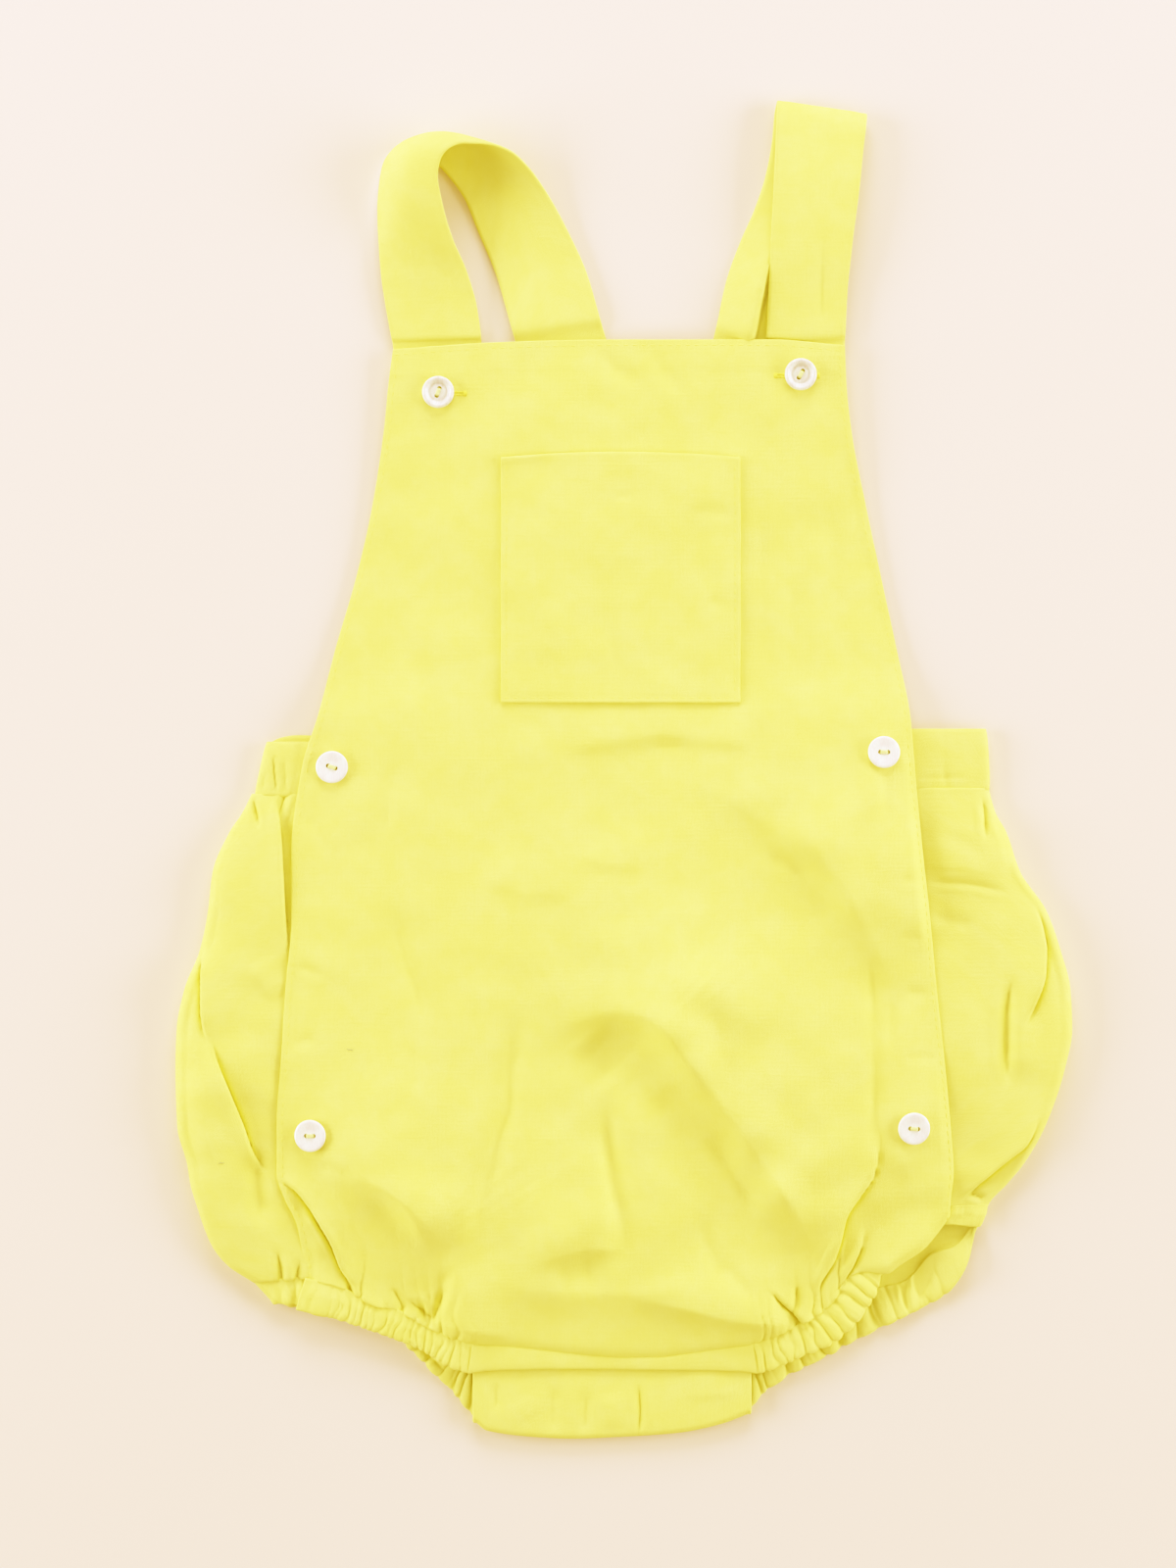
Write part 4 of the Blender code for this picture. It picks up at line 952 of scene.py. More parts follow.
back = {
    # steps across each wing, round each fold and over the floor, and rows from waist to legs
    "wing": 58, "fold": 12, "floor": (22, 18, 26), "rows": 200, "spread": 1.5,
    "base": 0.6, "lowered": 0.2,
    "waist": -10.0, "lap": 0.6,  # where its waist is measured, and how far it goes up under the waistband
    "sideFree": 4.5,  # how far in from the fold its wings' folds are whole
    "lumps": ((0.8, 20), (0.4, 9)),
    "leftFolds": (
        # the wedge beside the front's edge, its mouth under the waistband and the notch beside it
        ("soft", 2.2, -2.4, (-115.5, -10), (-115, -22), (-114.6, -40), (-114.2, -60)),
        ("tuck", 4.0, 2.8, (-113.6, -69), (-115.3, -60), (-116.8, -50), (-117.6, -36), (-118.2, -24),
         (-119.4, -13), (-120.4, -7)),
        ("pinch", 1.4, -1.6, (-115, -7), (-117, -13), (-118.5, -18)),
        ("pinch", 1.3, -2.4, (-128, -7), (-126.2, -13.5), (-124.2, -21)),
        # the long fold down the wing: the outer strip goes under, then over
        ("tuck", 4.4, 3.0, (-143, -56), (-143.2, -68), (-143, -84), (-141, -95)),
        ("tuck", 5.0, 3.0, (-119, -141), (-122, -138), (-127, -132), (-131, -122), (-135, -112),
         (-139.5, -100), (-141.8, -89)),
        ("soft", 3.6, -2.4, (-126, -128), (-125.5, -143), (-123, -158)),
        ("soft", 5.0, 1.2, (-147, -100), (-144, -118), (-139, -138)),
        ("billow", 3.0, 1.0, (-128, -66), (-124, -72), (-119, -80)),
        ("soft", 5.0, 0.9, (-128, -88), (-126, -104), (-123, -120)),
        ("pinch", 1.5, -2.4, (-118.6, -163), (-117.2, -173), (-117, -184)),
        ("pinch", 1.5, -2.2, (-110.5, -166), (-112, -175), (-112.5, -186)),
    ),
    "rightFolds": (
        ("pinch", 1.4, -2.4, (121.2, -9), (122.2, -16), (122.7, -25)),
        ("billow", 6.0, 2.2, (100, -33), (112, -33.5), (120, -35), (131, -39)),
        ("pinch", 1.4, -1.0, (101, -39), (112, -39), (120, -40), (131, -43)),
        ("soft", 2.4, -0.7, (103, -51), (120, -53.5)),
        ("soft", 2.6, -0.6, (104, -22), (116, -26), (124, -33)),
        # the arc near the fold, its inner side standing over the outer strip
        ("tuck", 4.5, 2.8, (134, -90), (136, -85), (139, -78), (141.5, -70), (142, -62), (141, -55),
         (138, -44)),
        ("pinch", 2.4, -2.8, (131.5, -68), (129.5, -85), (129.5, -98), (130.4, -109)),
        ("soft", 4.0, 1.2, (135, -80), (135.5, -94), (134, -108)),
        ("tuck", 4.5, 2.4, (113, -147.5), (122, -138.6), (130, -132), (136, -127), (141, -117)),
        ("pinch", 1.4, -2.4, (116, -144), (119.5, -145.3), (123, -147)),
        ("soft", 2.5, -1.3, (111, -149), (114, -154), (117, -158)),
        ("soft", 6.0, 0.9, (118, -70), (118, -96), (116, -122)),
    ),
}


def wingSection(edge, fold, radius, base, edgeZ, puff, side, counts):
    t = np.linspace(1, 0, counts[0])
    top = base + 2 * radius
    innerX = fold[0] - side * radius
    x = innerX + (edge[0] - innerX) * t
    y = fold[1] + (edge[1] - fold[1]) * t
    z = top + puff * np.sin(math.pi * np.sqrt(t)) ** 2 + (edgeZ - top) * t
    turn = np.linspace(0, math.pi, counts[1] + 2)[1:]
    arcX = innerX + side * radius * np.sin(turn)
    arcZ = base + radius + radius * np.cos(turn)
    arc = np.stack([arcX, np.full_like(turn, fold[1]), arcZ], axis=1)
    return np.concatenate([np.stack([x, y, z], axis=1), arc])


def pastFold(x, foldX, radius):
    return foldX + np.hypot(np.maximum(x - foldX, 0), radius)


def makeBack():
    look = back
    counts, base = (look["wing"], look["fold"]), look["base"]
    share = np.linspace(0, 1, sum(look["floor"]) + 1)
    legX, legY = lowerEdge(backLeftLeg, backRightLeg, look["floor"])
    legPlace = shareAcross(bodyRows, legX, legY)
    waistLeft, waistRight = (column(bodyRows, name, look["waist"]) for name in ("left", "right"))
    waistY = column(waistSeam, "y", waistLeft * (1 - share) + waistRight * share) + look["lap"]
    sections = []
    for down in np.linspace(0, 1, look["rows"]):
        y = waistY + (legY - waistY) * down
        place = share + (legPlace - share) * down ** look["spread"]
        wings, folds = [], []
        for side, end, name in ((-1, 0, "left"), (1, -1, "right")):
            foldY = y[end]
            foldX, radius, puff = (column(bodyRows, name + what, foldY) for what in ("", "Radius", "Puff"))
            edgeY = waistY[end] + (wingLegEnds[name][1] - waistY[end]) * down
            edge, edgeZ = (column(wingEdges, name, edgeY), edgeY), column(wingEdges, "z", edgeY)
            wings.append(wingSection(edge, (foldX, foldY), radius, base, edgeZ, puff, side, counts))
            folds.append((foldX, radius))
        x = pastFold(acrossAt(bodyRows, y, place), *folds[0])
        x = -pastFold(-x, -folds[1][0], folds[1][1])
        raised = curledUp(x, y, legCurls["left"] + legCurls["right"])
        raised = raised * ease(share / legCurls["starts"]) * ease((1 - share) / legCurls["starts"])
        raised = raised * np.exp(-np.maximum(y - legY, 0) / legCurls["inward"])
        flat = np.stack([x, y, base + legCurls["seam"] * raised], axis=1)
        sections.append(np.concatenate([wings[0], flat[1:-1], wings[1][::-1]]))
    points = np.stack(sections, axis=1)
    around = travelled(points, 0)
    grain = np.stack([around - around[around.shape[0] // 2], points[..., 1]], axis=2)
    points[..., 2] -= look["lowered"]

    # the wings' folds, on their upper layer alone
    upper = counts[0] + 3
    for name, sign, cut, seed in (("left", -1, slice(0, upper), 21), ("right", 1, slice(-upper, None), 31)):
        x, y = points[cut, :, 0].copy(), points[cut, :, 1].copy()
        height, shiftX, shiftY = folded(x, y, look[name + "Folds"], seed)
        free = ease(sign * (column(bodyRows, name, y) - x) / look["sideFree"])
        points[cut, :, 2] += (height + lumpsAt(x, y, look["lumps"], seed)) * free
        points[cut, :, 0] += shiftX * free
        points[cut, :, 1] += shiftY * free
    points[..., 2] = np.maximum(points[..., 2], cloth)
    made = clothSheet("back", points, cloth, cloth, grain, 2)
    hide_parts("back_panel")
    return made


backPiece = makeBack()
print("back made", len(backPiece.data.vertices))


# strips sewn double over elastic: waistband and leg casings

waistband = {
    "rows": 19, "floor": 150, "wing": 34, "fold": 12, "step": 0.9, "base": 0.75, "radius": 1.6,
    "left": (-122, -126), "right": (122.5, 123.6),  # where it folds, at its top and at its seam
    "fullness": 0.75, "gather": 0.35, "pitch": 8.0, "depths": (0.1, 0.5),
    "gatherAbove": 0.4, "gatherAll": 0.3,  # how much more its gathers show above, and how much anywhere
    "folds": (
        ("pinch", 1.2, -1.4, (-120.2, 6), (-119.6, -2), (-118.8, -10)),
        ("soft", 1.2, -0.8, (-116.6, 4), (-116, -10)),
        ("soft", 1.4, -0.6, (-123.8, 1), (-123.4, -9)),
        ("pinch", 1.0, -0.8, (97, -3.6), (108, -3.4), (119, -3.2)),
        ("soft", 1.0, -0.3, (98, -6.8), (118, -6.6)),
        ("soft", 1.4, -0.4, (108, 2), (109, -8)),
    ),
}


def pillow(rows, full):
    # How full a double strip is across its width: pressed at both edges.
    v = np.linspace(-1, 1, rows)
    return full * (0.35 + 0.65 * (1 - v**4))


def spacedAlong(points, step):
    middle = points[:, points.shape[1] // 2]
    distance = travelled(middle[:, None], 0)[:, 0]
    even = np.linspace(0, distance[-1], int(round(distance[-1] / step)) + 1)
    strip = np.stack([
        np.stack([np.interp(even, distance, points[:, j, k]) for k in range(3)], axis=1)
        for j in range(points.shape[1])
    ], axis=1)
    return strip, even


def makeWaistband():
    look = waistband
    counts, base, radius = (look["wing"], look["fold"]), look["base"], look["radius"]
    share = np.linspace(0, 1, look["floor"] + 1)
    rows = []
    for drop in np.linspace(0, 1, look["rows"]):
        sides = []
        for side, name in ((-1, "left"), (1, "right")):
            foldX = look[name][0] + (look[name][1] - look[name][0]) * drop
            top, seam = column(waistTop, "y", foldX), column(waistSeam, "y", foldX)
            y = top + (seam - top) * drop
            edge = (column(wingEdges, name, y), y)
            sides.append(wingSection(edge, (foldX, y), radius, base, base + 2 * radius, 0, side, counts))
        x = sides[0][-1][0] + (sides[1][-1][0] - sides[0][-1][0]) * share
        top, seam = column(waistTop, "y", x), column(waistSeam, "y", x)
        flat = np.stack([x, top + (seam - top) * drop, np.full_like(x, base)], axis=1)
        rows.append(np.concatenate([sides[0], flat[1:-1], sides[1][::-1]]))
    strip, distance = spacedAlong(np.stack(rows, axis=1)[:, ::-1], look["step"])
    upper = strip[..., 2] > base + 1.8 * radius
    strip[..., 2] += folded(strip[..., 0], strip[..., 1], look["folds"], 41)[0] * upper
    waves = gatherAt(distance, unevenValleys(distance[-1], look["pitch"], 42, look["depths"]))
    shown = upper * look["gatherAbove"] + look["gatherAll"]
    full = pillow(look["rows"], look["fullness"])[None, :] + look["gather"] * waves[:, None] * shown
    grain = np.stack([travelled(strip, 0), travelled(strip, 1)], axis=2)
    strip[..., 2] = np.maximum(strip[..., 2], full)
    made = clothSheet("backWaistband", strip, full, full, grain, 3)
    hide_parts("back_waistband")
    return made


casingLook = {
    # places along a front and a back casing, and steps across a back one's end and round its fold
    "stations": (60, 80), "turn": (30, 12),
    "step": 0.45, "rows": 22, "base": 0.75, "radius": 1.75,
    "lap": 0.05,  # how far it goes in under the seam, as a share of its width
    "fullness": 0.95, "gather": 1.15, "wander": 1.5, "lean": 0.6,
    "hair": 0.2, "hairPitch": 1.7, "hairDepths": (0.2, 1.0),  # the finest creases
    "backDepths": (0.2, 1.5),
    "endFull": 0.5, "endLength": 3.0,  # the share of its fullness at its ends, and how soon it is whole
    "underWaves": 0.45,  # the share of its waves that shows below
    "thinnest": 0.25,
    "calmWaves": 0.94, "calmFull": 0.7,  # the shares of gathers and fullness lost where it lies smooth
    "rolledLower": 2.0, "rolledBack": 0.42,  # under the front's rolled edge it is lower and stays back
}


def makeCasing(name, node, rail, outer, valleys, layer, folds=(), calm=None, scallop=0.3):
    # A casing between its seam line and its free edge, both lists of points with heights. It is
    # crushed by its elastic: valleys wander and fade across it, and its free edge follows them.
    # calm is a place, and how far around it, where the cloth lies smooth.
    look = casingLook
    out = np.linspace(-look["lap"], 1, look["rows"])
    strip, distance = spacedAlong(np.stack([rail + (outer - rail) * v for v in out], axis=1), look["step"])
    valleys = valleys(distance, strip)
    outward = unit(strip[:, -1:] - strip[:, :1])
    if normalsOf(strip)[-1, 1, 2] < 0:
        strip, out = strip[:, ::-1], out[::-1]
    out, along = out[None, :], distance[:, None]
    outside = np.clip(out, 0, 1)
    wander = look["wander"] * softNoise(along, out * 9, 5, layer)
    waves = gatherAt(along + wander, valleys, out * 2.5, layer) * look["gather"] * (0.7 + 0.3 * out)
    fine = unevenValleys(distance[-1], look["hairPitch"], layer + 30, look["hairDepths"])
    waves = waves + look["hair"] * gatherAt(along - wander, fine, out * 4, layer + 1)
    smooth = 0
    if calm:
        away = np.hypot(strip[..., 0] - calm[0], strip[..., 1] - calm[1]) / calm[2]
        smooth = np.exp(-(away**4))
        waves = waves * (1 - look["calmWaves"] * smooth)
    height, shiftX, shiftY = folded(strip[..., 0], strip[..., 1], folds, layer)
    ridge = waves + height
    full = look["fullness"] * (0.3 + 0.7 * ease(out / 0.45)) * (1 - 0.5 * outside**12)
    fromEnd = np.minimum(along, distance[-1] - along)
    full = full * (look["endFull"] + (1 - look["endFull"]) * ease(fromEnd / look["endLength"]))
    full = full * (1 - look["calmFull"] * smooth)
    above = np.maximum(full + ridge, look["thinnest"])
    below = np.maximum(full + look["underWaves"] * ridge, look["thinnest"])
    grain = np.stack([travelled(strip, 0), travelled(strip, 1)], axis=2)
    run = unit(np.gradient(strip, axis=0))
    leaning = look["lean"] * (0.6 + 0.8 * softNoise(along, out * 3, 11, layer + 2))
    strip = strip + run * (leaning * np.maximum(waves, 0))[..., None]
    strip = strip + outward * (scallop * waves * outside**3)[..., None]
    strip[..., 0] += shiftX
    strip[..., 1] += shiftY
    strip[..., 2] = np.maximum(strip[..., 2], below)
    made = clothSheet(name, strip, above, below, grain, layer)
    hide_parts(node)
    return made


def frontCasing(name, node, leg, valleysByX, layer):
    look = casingLook
    rail = alongTable(leg, np.linspace(0, 1, look["stations"][0]))
    under = rollingOut(rail["x"])
    z = column(frontLegHeight, "z", rail["x"]) - look["rolledLower"] * under
    inner = np.stack([rail["x"], rail["y"], z], axis=1)
    outer = np.stack([rail["outX"], rail["outY"], z], axis=1)
    outer += (inner - outer) * look["rolledBack"] * under[:, None]

    def valleys(distance, strip):
        x = strip[:, 1, 0]
        order = np.argsort(x)
        return sorted((float(np.interp(at, x[order], distance[order])), depth) for at, depth in valleysByX)

    return makeCasing(name, node, inner, outer, valleys, layer)


def backCasing(name, node, leg, which, layer, pitch, seed, calm, scallop, folds):
    look = casingLook
    side = -1 if which == "left" else 1
    base, radius, end = look["base"], look["radius"], wingLegEnds[which]
    rail = alongTable(leg, np.linspace(0, 1, look["stations"][1]))
    starting = ease(np.linspace(0, 1, len(rail["x"])) / legCurls["starts"])
    lines = []
    for x, y, edge, lift in ((rail["x"], rail["y"], end[:2], legCurls["seam"]),
                             (rail["outX"], rail["outY"], end[2:], 1.0)):
        turned = wingSection(edge, (x[0], y[0]), radius, base, base + 2 * radius, 0, side, look["turn"])
        flatX = -side * pastFold(-side * x, -side * x[0], radius)
        raised = curledUp(x, y, legCurls[which]) * starting
        flat = np.stack([flatX, y, base + lift * raised], axis=1)
        lines.append(np.concatenate([turned, flat[1:]]))

    def valleys(distance, strip):
        return unevenValleys(distance[-1], pitch, seed, look["backDepths"])

    return makeCasing(name, node, lines[0], lines[1], valleys, layer, folds, calm, scallop)


# creases along the two back casings: the right one's edge where it turns up from under the front
leftBackCreases = (
    ("pinch", 1.2, -1.9, (-118.4, -165), (-117.6, -176), (-117, -188)),
    ("pinch", 1.2, -1.9, (-111, -163), (-112, -176), (-112.6, -189)),
    ("pinch", 1.2, -1.0, (-96, -187.5), (-90, -190), (-84, -193.5)),
    ("pinch", 1.2, -0.9, (-72, -196), (-66, -201), (-61, -206)),
)
rightBackCreases = (
    ("soft", 2.2, -3.4, (101.6, -162), (101.6, -170), (101, -176), (100, -181)),
    ("pinch", 1.3, -1.8, (100.4, -168), (100, -176), (100.4, -183)),
    ("pinch", 1.1, -1.4, (95.4, -174), (95, -180), (96, -186)),
    ("pinch", 0.9, -1.0, (116.5, -145), (120.5, -145.8), (124.5, -146.8)),
    ("soft", 1.6, -1.0, (110, -156.5), (114, -153.5), (119, -150.5)),
)
waistbandPiece = makeWaistband()
casings = [
    frontCasing("legCasingLeftFront", "leg_casing_left_front", frontLeftLeg, front["leftValleys"], 4),
    frontCasing("legCasingRightFront", "leg_casing_right_front", frontRightLeg, front["rightValleys"], 5),
    backCasing("legCasingLeftBack", "leg_casing_left_back", backLeftLeg, "left", 6, 4.2, 52,
               (-125, -177, 9), 0.3, leftBackCreases),
    backCasing("legCasingRightBack", "leg_casing_right_back", backRightLeg, "right", 7, 4.8, 63,
               (115, -166, 12.5), 0.2, rightBackCreases),
]
print("waistband and casings made")


# crotch bands

crotchLook = {
    "stations": 151, "steps": (14, 13, 29),  # steps below, round the fold and above
    "radius": 1.5, "base": 0.75,
    "left": -50.4, "right": 41.2, "backSeam": -205.8, "tuck": -200,
    "seamGap": 0.4,  # how far past the back's seam it starts
    "lap": 1.3,  # how far each end goes into the casing beside it
    "bottom": table(
        "x y",
        (-50.6, -222.5), (-47, -225.2), (-30, -227.4), (-18, -227.9), (-4, -227.4), (17, -226),
        (32, -223), (41.4, -219.5),
    ),
    "puff": 0.5, "puffFrom": -227.0, "puffOver": 22.0, "lump": (0.2, 9),
    # the front's band: its ends at the top with how far each goes out below, its top, and its
    # lower edge
    "frontLeft": (-51.8, -1.8), "frontRight": (43.2, 1.6), "frontTop": -195.6,
    "low": table("x y", (-54, -206), (-47, -204.9), (-20, -204.3), (10, -204.6), (38, -205), (46, -206)),
    "frontRows": 17, "fullness": 0.75, "frontLump": (0.22, 7),
    "tucked": 1.4,  # how far its upper edge is pressed down under the body's roll
    "folds": (
        ("soft", 1.6, -0.8, (-44, -208), (-44, -220)),
        ("soft", 2.4, -0.9, (-24, -208), (-25, -228)),
        ("soft", 2.0, -0.9, (-13.5, -210), (-14, -229)),
        ("pinch", 1.6, -1.4, (4.2, -208), (5, -219), (4, -229)),
        ("soft", 4.0, 0.7, (-6, -212), (-4, -226)),
        ("billow", 4.0, 0.9, (18, -213), (30, -213), (40, -211)),
        ("soft", 5.0, 0.5, (-36, -214), (-32, -222)),
    ),
}


def makeCrotchBack():
    look = crotchLook
    base, radius, (behind, turning, ahead) = look["base"], look["radius"], look["steps"]
    across = np.linspace(look["left"] - look["lap"], look["right"] + look["lap"], look["stations"])
    turn = np.linspace(0, math.pi, turning)
    z = np.concatenate([
        np.full(behind, base), base + radius * (1 - np.cos(turn)), np.full(ahead, base + 2 * radius),
    ])
    lines = []
    for x, bottom in zip(across, column(look["bottom"], "y", across)):
        foldY = bottom + radius
        y = np.concatenate([
            np.linspace(look["backSeam"] + look["seamGap"], foldY, behind + 1)[:-1],
            foldY - radius * np.sin(turn),
            np.linspace(foldY, look["tuck"], ahead + 1)[1:],
        ])
        lines.append(np.stack([np.full(len(y), x), y, z], axis=1))
    strip = np.stack(lines)
    x, y = strip[..., 0], strip[..., 1]
    upper = np.arange(strip.shape[1]) > behind + turning // 2
    puff = look["puff"] * np.sin(math.pi * np.clip((y - look["puffFrom"]) / look["puffOver"], 0, 1))
    lump = look["lump"][0] * softNoise(x, y, look["lump"][1], 72)
    strip[..., 2] += (folded(x, y, look["folds"], 71)[0] + puff + lump) * upper[None, :]
    grain = np.stack([x, travelled(strip, 1)], axis=2)
    made = clothSheet("crotchBandBack", strip, double, double, grain, 8)
    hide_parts("crotch_band_back")
    return made


def makeCrotchFront():
    # The front's band lies below the seam, its upper edge tucked in under the body's roll.
    look = crotchLook
    down = np.linspace(1, 0, look["frontRows"])[None, :]
    share = np.linspace(0, 1, look["stations"])[:, None]
    leftEnd, rightEnd = (at + out * down for at, out in (look["frontLeft"], look["frontRight"]))
    x = leftEnd + (rightEnd - leftEnd) * share
    y = look["frontTop"] + (column(look["low"], "y", x) - look["frontTop"]) * down
    tucked = ease((y - legEdgeY(x) + 0.6) / 2.4)
    inMiddle = ease((x + 53) / 5) * ease((45 - x) / 5)
    lump = look["frontLump"][0] * softNoise(x, y, look["frontLump"][1], 73)
    strip = np.stack([x, y, crotchTopZ - look["tucked"] * tucked * inMiddle + lump], axis=2)
    full = np.broadcast_to(pillow(look["frontRows"], look["fullness"])[None, :], x.shape)
    grain = np.stack([x, travelled(strip, 1)], axis=2)
    made = clothSheet("crotchBandFront", strip, full, full, grain, 9)
    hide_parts("crotch_band_front")
    return made


crotchBack = makeCrotchBack()
crotchFront = makeCrotchFront()


# straps, each from its end under the bib, over its loop and down behind the bib

leftStrapRows = table(
    "leftX leftY leftZ rightX rightY rightZ bow",
    (-77, 114.5, 1.0, -47.5, 114.5, 1.0, 0),
    (-78.2, 134, 1.1, -48.8, 134, 1.1, 0),
    (-79.2, 145, 1.3, -49.4, 145.6, 1.4, 0),
    (-79.6, 146.8, 2.3, -49.5, 147.4, 2.4, 0.15),
    (-81.6, 157.8, 2.6, -51, 157.8, 3.2, 0.4),
    (-83.2, 169.2, 3.0, -54.4, 169.2, 6.4, 0.8),
    (-83.9, 179.8, 2.8, -59, 179.8, 10.8, 2.2),
    (-84.2, 189.8, 2.2, -62, 189.8, 14.4, 3.6),
    (-83.6, 199.4, 1.6, -63.8, 199.8, 16.8, 4.2),
    (-82.2, 206.2, 1.2, -62.8, 205.6, 17.6, 4.4),
    (-79, 210, 1.1, -60, 209.2, 17.8, 4.4),
    (-73.4, 210.8, 1.1, -54.4, 211.2, 17.4, 4.4),
    (-67.6, 208.6, 1.1, -46.8, 211, 15.4, 4.0),
    (-62.8, 204.6, 1.1, -39.4, 209, 11.6, 3.2),
    (-58.8, 200, 1.1, -32.4, 203, 8.0, 1.8),
    (-54.8, 194.2, 1.1, -26.3, 194.5, 5.2, 0.8),
    (-49.6, 181.8, 1.1, -19.6, 182.2, 3.2, 0.3),
    (-43.6, 167.2, 1.4, -13.6, 169, 2.4, 0.2),
    (-38.8, 150.5, 2.4, -9.2, 154, 3.0, 0.2),
    (-37, 144.4, 0.9, -7.4, 148, 0.9, 0),
    (-30.5, 121, 1.2, -1.4, 127, 1.2, 0),
    (-23.5, 97, 2.7, 5.3, 104, 2.7, 0),
    (-11, 57, 2.8, 18, 64, 2.8, 0),
    (1, 19, 2.8, 30.5, 23, 2.8, 0),
    (5.5, 9, 3.3, 35.5, 10, 3.3, 0),
    (8, -5.5, 3.4, 38, -5.5, 3.4, 0),
)
rightStrapRows = table(
    "leftX leftY leftZ rightX rightY rightZ bow",
    (45, 119.5, 2.7, 74.4, 119.5, 2.7, 0),
    (46.4, 133, 2.7, 74.4, 133, 2.7, 0),
    (48, 145.2, 2.9, 74.5, 145.8, 2.9, 0.3),
    (48.1, 147, 4.4, 74.6, 147.6, 4.4, 0.35),
    (48.8, 161.2, 5.4, 75.2, 161.2, 5.2, 0.7),
    (49.5, 177.8, 7.0, 76.8, 177.8, 7.0, 0.9),
    (50.5, 197.8, 7.8, 79.2, 196.8, 7.8, 0.7),
    (51.2, 213, 7.2, 80.6, 210.6, 7.2, 0.3),
    (51.6, 222.6, 6.0, 81.6, 218.4, 6.0, 0),
    (51.8, 226.8, 3.6, 82, 222.4, 3.6, 0),
    (51, 223, 1.2, 80.8, 218.2, 1.2, 0),
    (50.2, 214, 1.0, 79.2, 208.4, 1.0, 0),
    (48, 202, 1.0, 76.2, 195, 1.0, 0),
    (44.2, 190.4, 1.0, 72.2, 182, 1.0, 0),
    (39.8, 180.4, 1.0, 68.2, 170.4, 1.0, 0),
    (34.6, 166.2, 1.0, 62.9, 156.2, 1.0, 0),
    (31.6, 152.4, 1.5, 59.6, 142, 0.9, 0),
    (30.3, 146.8, 0.9, 58.4, 136.6, 0.9, 0),
    (22.5, 124.5, 0.9, 50.3, 113, 0.9, 0),
    (-6, 62, 0.9, 21.5, 50, 0.9, 0),
    (-26, 21, 0.9, 2, 16, 1.0, 0),
    (-32.5, 9, 3.3, -3.5, 8, 3.3, 0),
    (-37, -5.5, 3.4, -7.5, -5.5, 3.4, 0),
)
straps = {
    "perRow": 11, "columns": 27, "lowered": 0.3,
    "half": 0.6, "edgeHalf": 0.72,  # half its thickness, and the share of it left at the edges
    "halfWide": 15, "edgeStitch": 1.9, "stitchDent": 0.1, "stitchWidth": 0.5,
    "lumps": ((0.18, 13), (0.08, 5)),
    # the crease along the right strap's back run: where it lies across, how steeply it drops
    "creaseAt": 0.4, "creaseDrop": 0.05,
    "crease": table(
        "row height",
        (0, 0), (11, 0), (12, 1.2), (13, 2.8), (14, 4.6), (15, 7.0), (16, 6.6), (17, 3.4),
        (17.7, 0.6), (18, 0), (22, 0),
    ),
    # soft creases: along the right strap's front run, and across the left strap's
    "leftFolds": (
        ("soft", 3.6, -0.8, (-76, 194), (-67, 178), (-60, 166), (-56, 156)),
        ("soft", 2.4, -0.5, (-24, 192), (-22, 178)),
    ),
    "rightFolds": (
        ("soft", 1.5, -0.9, (68.5, 186), (67, 172), (66.5, 147)),
        ("soft", 4.0, -0.5, (69, 222), (70, 204), (68, 186)),
    ),
}


def makeStrap(name, node, rows, creased, folds, layer, seed):
    look = straps
    count = len(rows["leftX"])
    at = np.linspace(0, count - 1, (count - 1) * look["perRow"] + 1)
    smooth = {key: curve(np.arange(count), values, at) for key, values in rows.items()}
    left, right = (np.stack([smooth[side + axis] for axis in "XYZ"], axis=1) for side in ("left", "right"))
    off = unit(np.cross(right - left, np.gradient((left + right) / 2, axis=0)))
    ridge = column(look["crease"], "height", at) if creased else np.zeros_like(at)
    columns = []
    for place in np.linspace(0, 1, look["columns"]):
        point = left + (right - left) * place
        point = point + off * (smooth["bow"] * 4 * place * (1 - place))[:, None]
        rising = place / look["creaseAt"]
        falling = 1 - (place - look["creaseAt"]) / look["creaseDrop"]
        point[:, 2] += ridge * max(min(rising, falling), 0)
        columns.append(point)
    points = np.stack(columns)
    grain = np.stack([travelled(points, 0), travelled(points, 1)], axis=2)
    wave = lumpsAt(grain[..., 0], grain[..., 1], look["lumps"], seed)
    points = points + normalsOf(points) * wave[..., None]
    height = folded(points[..., 0], points[..., 1], folds, seed)[0]
    normals = normalsOf(points)
    points = points + normals * np.where(normals[..., 2:] > 0, height[..., None], 0)
    points[..., 2] = np.maximum(points[..., 2] - look["lowered"], look["half"])
    v = np.linspace(-1, 1, look["columns"])
    full = look["half"] * (look["edgeHalf"] + (1 - look["edgeHalf"]) * (1 - v**8))
    fromStitch = (1 - np.abs(v)) * look["halfWide"] - look["edgeStitch"]
    full = full - look["stitchDent"] * np.exp(-(fromStitch**2) / look["stitchWidth"])
    full = np.broadcast_to(full[:, None], points.shape[:2])
    made = clothSheet(name, points, full, full, grain, layer)
    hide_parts(node)
    return made


strapLeft = makeStrap("strapLeft", "strap_left", leftStrapRows, False, straps["leftFolds"], 10, 81)
strapRight = makeStrap("strapRight", "strap_right", rightStrapRows, True, straps["rightFolds"], 11, 91)
print("crotch bands and straps made")


# pocket

